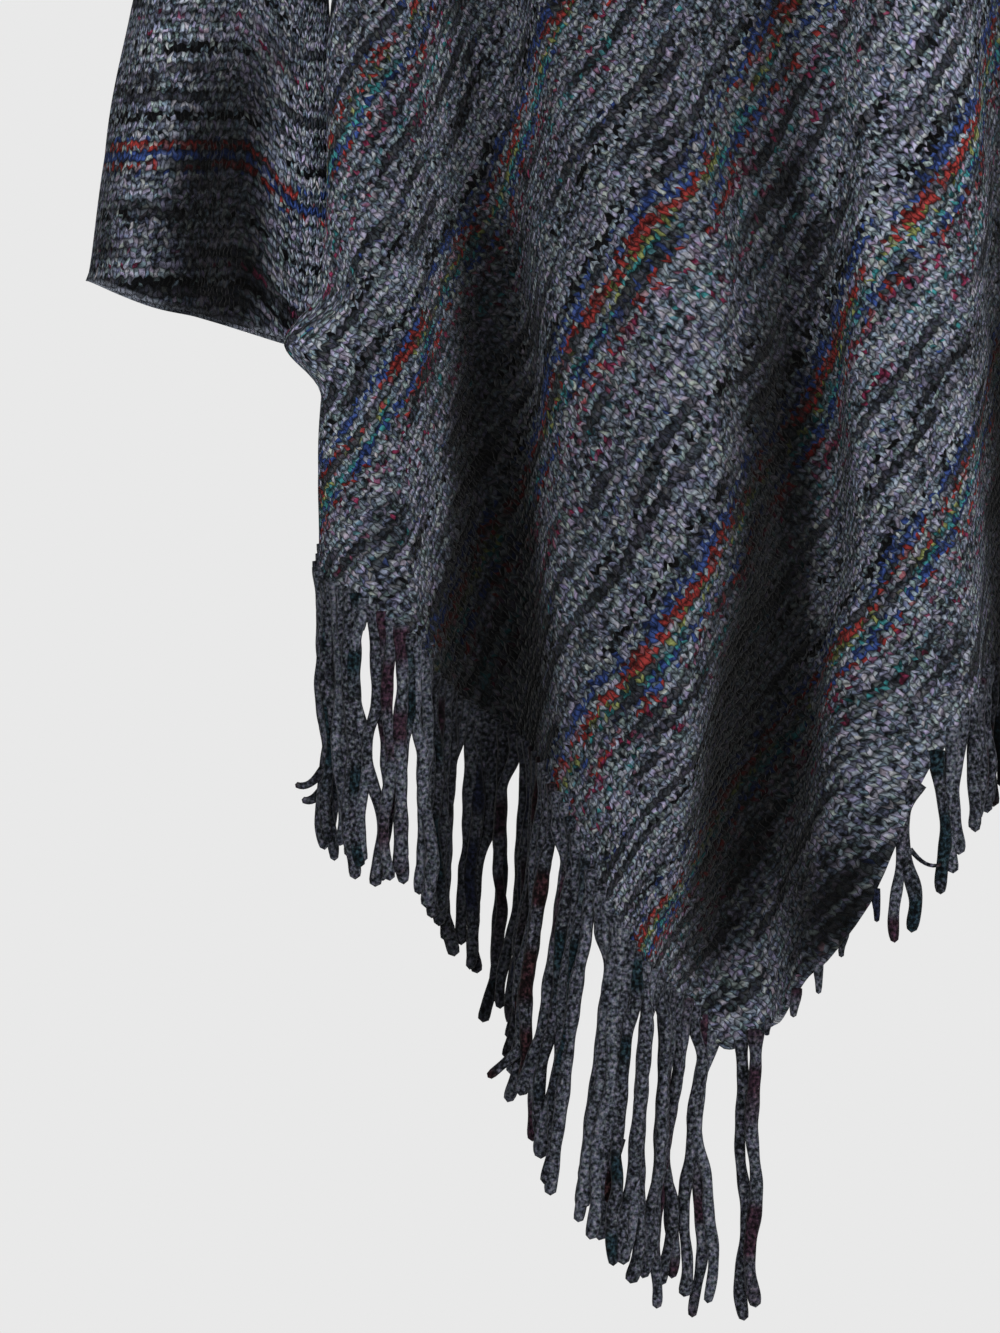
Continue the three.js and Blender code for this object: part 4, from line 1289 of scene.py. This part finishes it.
def knit_material(name, stripes, repeat, stitch, course, relief, painted_light_gain=1.0, cuff=False):
    """Machine-knitted acrylic: marled stocking stitch with V-shaped legs, black bars and dyed courses."""
    material, tree, shader = yarn_material(name)
    cut = add_node(tree, "UVMap", uv_map="cut")
    knit = stitch_nodes(tree, cut, stitch, course)
    cell = add_node(tree, "CombineXYZ", knit["leg"], knit["ply"])
    own = add_node(tree, "TexWhiteNoise", cell, noise_dimensions="2D")
    fibre = add_node(
        tree, "TexNoise", named={"Vector": cut, "Scale": FIBRE_SCALE, "Detail": 2}, noise_dimensions="2D"
    )
    tone = tone_nodes(tree, knit, own, fibre)
    base = barred_nodes(tree, knit, marl_nodes(tree, tone, own))
    base = dyed_nodes(tree, knit, own, tone, base, stripes, repeat)
    if cuff:
        base = cuff_nodes(tree, base)
    # Painted shade in the gaps and folds, and painted light on the sleeves, drawn into the colour
    layers = {0: 1, COLOUR_A: base, COLOUR_B: shade_nodes(tree, knit["height"], painted_light_gain)}
    base = add_node(tree, "Mix", named=layers, **MULTIPLIED)
    tree.links.new(base.outputs[MIXED_COLOUR], shader.inputs["Base Color"])
    fuzz = add_node(tree, "Math", fibre, 0.5, knit["height"], operation="MULTIPLY_ADD")
    bumps = add_node(tree, "Bump", named={"Strength": KNIT_BUMP, "Distance": relief, "Height": fuzz})
    tree.links.new(bumps.outputs[0], shader.inputs["Normal"])
    return material


def rib_material():
    """Machine-knitted acrylic rib in the darkest yarn: upright ridges, with painted shade in the gaps between
    them.
    """
    material, tree, shader = yarn_material("marled_dark_rib_knit")
    cut = add_node(tree, "UVMap", uv_map="cut")
    around = add_node(tree, "SeparateXYZ", cut)
    ribs = add_node(tree, "Math", around, 2 * math.pi / RIB["pitch"], operation="MULTIPLY")
    ribs = add_node(tree, "Math", ribs, operation="SINE")
    fibre = add_node(
        tree, "TexNoise", named={"Vector": cut, "Scale": RIB["fibres"], "Detail": 3}, noise_dimensions="2D"
    )
    marl = fill_ramp(add_node(tree, "ValToRGB", fibre), yarn_stops(RIB_MARL))
    # Painted shade in the gaps between the ribs
    gaps = add_node(tree, "MapRange", ribs, -1, 0.3, 0.35, 1)
    base = add_node(tree, "Mix", named={0: 1, COLOUR_A: marl, COLOUR_B: gaps}, **MULTIPLIED)
    tree.links.new(base.outputs[MIXED_COLOUR], shader.inputs["Base Color"])
    bumps = add_node(tree, "Bump", named={"Strength": RIB["bump"], "Distance": RIB["relief"], "Height": ribs})
    tree.links.new(bumps.outputs[0], shader.inputs["Normal"])
    return material


def fringe_material():
    """Soft spun acrylic yarn: dark plies flecked with grey, and now and then a dyed length."""
    material, tree, shader = yarn_material("marled_fringe_yarn")
    place = add_node(tree, "TexCoord").outputs["Object"]
    flecks = add_node(tree, "TexNoise", named={"Vector": place, "Scale": FRINGE_FLECKS["scale"], "Detail": 3})
    kind = add_node(tree, "Attribute", attribute_name="kind").outputs["Fac"]
    own = add_node(tree, "MapRange", kind, 0, 1, -FRINGE_FLECKS["reach"], FRINGE_FLECKS["reach"])
    tone = add_node(tree, "Math", flecks, own, operation="ADD")
    marl = fill_ramp(add_node(tree, "ValToRGB", tone), yarn_stops(FRINGE_MARL))
    tint = {0: FRINGE_TINT["share"], COLOUR_A: FRINGE_TINT["plain"], COLOUR_B: flecks.outputs["Color"]}
    tint = add_node(tree, "Mix", named=tint, data_type="RGBA")
    layers = {0: 1, COLOUR_A: marl, COLOUR_B: tint.outputs[MIXED_COLOUR]}
    marl = add_node(tree, "Mix", named=layers, **MULTIPLIED)

    # Lengths of dyed yarn
    dyes = fill_ramp(add_node(tree, "ValToRGB", kind), yarn_stops(FRINGE_DYES), "CONSTANT")
    down = add_node(tree, "Attribute", attribute_name="down").outputs["Fac"]
    run = add_node(tree, "Math", kind, KIND_STEP, down, operation="MULTIPLY_ADD")
    lengths = add_node(
        tree, "TexNoise", named={"W": run, "Scale": DYED_LENGTHS["scale"], "Detail": 1}, noise_dimensions="1D"
    )
    lengths = add_node(
        tree, "MapRange", lengths, DYED_LENGTHS["start"], DYED_LENGTHS["full"], 0, DYED_LENGTHS["share"]
    )
    share = add_node(tree, "Math", lengths, dyes.outputs["Alpha"], operation="MULTIPLY")
    base = add_node(
        tree,
        "Mix",
        named={0: share, COLOUR_A: marl.outputs[MIXED_COLOUR], COLOUR_B: dyes},
        data_type="RGBA",
        blend_type="OVERLAY",
    )

    # Painted shade: strands below a deep fold are drawn dark
    hollow = add_node(tree, "Attribute", attribute_name="hollow").outputs["Fac"]
    shade = add_node(tree, "MapRange", hollow, 0.1, 0.8, 1, 0.25)
    layers = {0: 1, COLOUR_A: base.outputs[MIXED_COLOUR], COLOUR_B: shade}
    base = add_node(tree, "Mix", named=layers, **MULTIPLIED)
    tree.links.new(base.outputs[MIXED_COLOUR], shader.inputs["Base Color"])
    bumps = {"Strength": FRINGE_FLECKS["bump"], "Distance": FRINGE_FLECKS["relief"], "Height": flecks}
    bumps = add_node(tree, "Bump", named=bumps)
    tree.links.new(bumps.outputs[0], shader.inputs["Normal"])
    return material


def plain_material(name, hex_code, glow=0.0):
    """Plain pale paint for the stage. With a glow it is black paint that shines in its own colour."""
    material = bpy.data.materials.new(name)
    material.use_nodes = True
    shader = material.node_tree.nodes["Principled BSDF"]
    shader.inputs["Base Color"].default_value = (0, 0, 0, 1) if glow else colour(hex_code)
    shader.inputs["Roughness"].default_value = 0.9
    shader.inputs["Specular IOR Level"].default_value = 0
    shader.inputs["Emission Color"].default_value = colour(hex_code)
    shader.inputs["Emission Strength"].default_value = glow
    return material


def body_knit(settings):
    """The knit of the body, made once for both panels."""
    name = "marled_striped_knit"
    return bpy.data.materials.get(name) or knit_material(
        name, BODY_STRIPES, BODY_REPEAT, settings.stitch_width, settings.course_height, settings.relief
    )


# Operators


class PonchoPiece:
    """What the operators of the pieces share"""

    bl_options = {"REGISTER", "UNDO"}

    def finish_piece(self, made, material, slot, *nodes):
        made.data.materials.append(material)
        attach(made, "root")
        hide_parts(*nodes)


class PONCHO_OT_front(PonchoPiece, bpy.types.Operator):
    """Builds the front panel's knitted cloth"""

    bl_idname = "poncho.front"
    bl_label = "Front panel"

    def execute(self, context):
        made = panel_object("front_panel_cloth", FRONT)
        self.finish_piece(made, body_knit(context.scene.poncho), "striped_knit", "front_panel")
        return {"FINISHED"}


class PONCHO_OT_back(PonchoPiece, bpy.types.Operator):
    """Builds the back panel's knitted cloth"""

    bl_idname = "poncho.back"
    bl_label = "Back panel"

    def execute(self, context):
        made = panel_object("back_panel_cloth", BACK)
        self.finish_piece(made, body_knit(context.scene.poncho), "striped_knit", "back_panel")
        return {"FINISHED"}


class PONCHO_OT_sleeves(PonchoPiece, bpy.types.Operator):
    """Builds both sleeves' knitted cloth"""

    bl_idname = "poncho.sleeves"
    bl_label = "Sleeves"

    def execute(self, context):
        settings = context.scene.poncho
        knit = knit_material(
            "marled_sleeve_knit",
            SLEEVE_STRIPES,
            SLEEVE_REPEAT,
            SLEEVE_STITCH * MM,
            SLEEVE_COURSE * MM,
            settings.relief,
            painted_light_gain=SLEEVE_PAINTED_LIGHT,
            cuff=True,
        )
        for side, mirror in (("right", 1), ("left", -1)):
            made = sleeve_object(f"sleeve_{side}_cloth", mirror)
            self.finish_piece(made, knit, "sleeve_knit", f"sleeve_{side}")
        return {"FINISHED"}


class PONCHO_OT_neckband(PonchoPiece, bpy.types.Operator):
    """Builds the neckband"""

    bl_idname = "poncho.neckband"
    bl_label = "Neckband"

    def execute(self, context):
        made = neckband_object("neckband_cloth")
        self.finish_piece(made, rib_material(), "rib_knit", "neckband")
        return {"FINISHED"}


class PONCHO_OT_fringe(PonchoPiece, bpy.types.Operator):
    bl_idname = "poncho.fringe"
    bl_label = "Fringe"

    def execute(self, context):
        yarn = fringe_material()
        for panel in (FRONT, BACK):
            for side, start, end in (("right", -1, panel.tip), ("left", panel.tip, 1)):
                node = f"fringe_{panel.side}_{side}"
                made = fringe_object(f"{node}_strands", panel, start, end, context.scene.poncho)
                self.finish_piece(made, yarn, "fringe_yarn", node)
        return {"FINISHED"}


class PONCHO_OT_stage(bpy.types.Operator):
    """Sets the floor, the backdrop, the lights and the camera"""

    bl_idname = "poncho.stage"
    bl_label = "Stage"
    bl_options = {"REGISTER", "UNDO"}

    def execute(self, context):
        scene = context.scene
        scene.view_settings.view_transform = "Standard"
        world = bpy.data.worlds.new("studio")
        scene.world = world
        world.use_nodes = True
        background = world.node_tree.nodes["Background"]
        background.inputs["Color"].default_value = SKY["colour"]
        background.inputs["Strength"].default_value = SKY["strength"]
        paint = plain_material("pale_floor", PALE)
        floor = plain_plane("floor", FLOOR_HALF, (0, 0, FLOOR_Z), (0, 0, 0), paint)
        glow = plain_material("pale_wall", PALE, glow=1)
        upright = (math.pi / 2, 0, 0)
        back = plain_plane("backdrop", BACKDROP_HALF, (0, BACKDROP_Y, BACKDROP_Z), upright, glow)
        for light in LIGHTS:
            add_light(*light)
        data = bpy.data.cameras.new("camera")
        data.sensor_width = CAMERA_SENSOR
        data.lens = CAMERA_LENS
        data.clip_end = 100
        camera = bpy.data.objects.new("camera", data)
        camera.location = CAMERA_PLACE
        camera.rotation_euler = (math.pi / 2, 0, 0)
        context.collection.objects.link(camera)
        scene.camera = camera
        return {"FINISHED"}


def plain_plane(name, half, place, turn, material):
    """A square of the stage, which reaches this far from its middle each way."""
    corners = [(-half, -half, 0), (half, -half, 0), (half, half, 0), (-half, half, 0)]
    mesh = bpy.data.meshes.new(name)
    mesh.from_pydata(corners, [], [(0, 1, 2, 3)])
    mesh.materials.append(material)
    made = bpy.data.objects.new(name, mesh)
    made.location = place
    made.rotation_euler = turn
    bpy.context.collection.objects.link(made)
    return made


def add_light(name, place, size, power):
    """A square studio light that faces the middle of the garment."""
    data = bpy.data.lights.new(name, "AREA")
    data.size = size
    data.energy = power
    made = bpy.data.objects.new(name, data)
    made.location = place
    aim = np.array(LIGHT_AIM) - np.array(place)
    made.rotation_euler = (
        math.atan2(math.hypot(aim[0], aim[1]), -aim[2]),
        0,
        math.atan2(aim[1], aim[0]) - math.pi / 2,
    )
    bpy.context.collection.objects.link(made)
    return made


class VIEW3D_PT_poncho(bpy.types.Panel):
    """Lists the pieces in the sidebar"""

    bl_label = "Poncho"
    bl_space_type = "VIEW_3D"
    bl_region_type = "UI"
    bl_category = "Poncho"

    def draw(self, context):
        for step in STEPS:
            self.layout.operator(step.bl_idname)
        for name in PonchoSettings.__annotations__:
            self.layout.prop(context.scene.poncho, name)


STEPS = (
    PONCHO_OT_front,
    PONCHO_OT_back,
    PONCHO_OT_sleeves,
    PONCHO_OT_neckband,
    PONCHO_OT_fringe,
    PONCHO_OT_stage,
)
CLASSES = (PonchoSettings, *STEPS, VIEW3D_PT_poncho)


def register():
    for each in CLASSES:
        bpy.utils.register_class(each)
    bpy.types.Scene.poncho = bpy.props.PointerProperty(type=PonchoSettings)


def unregister():
    del bpy.types.Scene.poncho
    for each in reversed(CLASSES):
        bpy.utils.unregister_class(each)


def main():
    """Builds every piece and the stage."""
    register()
    bpy.ops.poncho.front()
    bpy.ops.poncho.back()
    bpy.ops.poncho.sleeves()
    bpy.ops.poncho.neckband()
    bpy.ops.poncho.fringe()
    bpy.ops.poncho.stage()


if __name__ == "__main__":
    main()
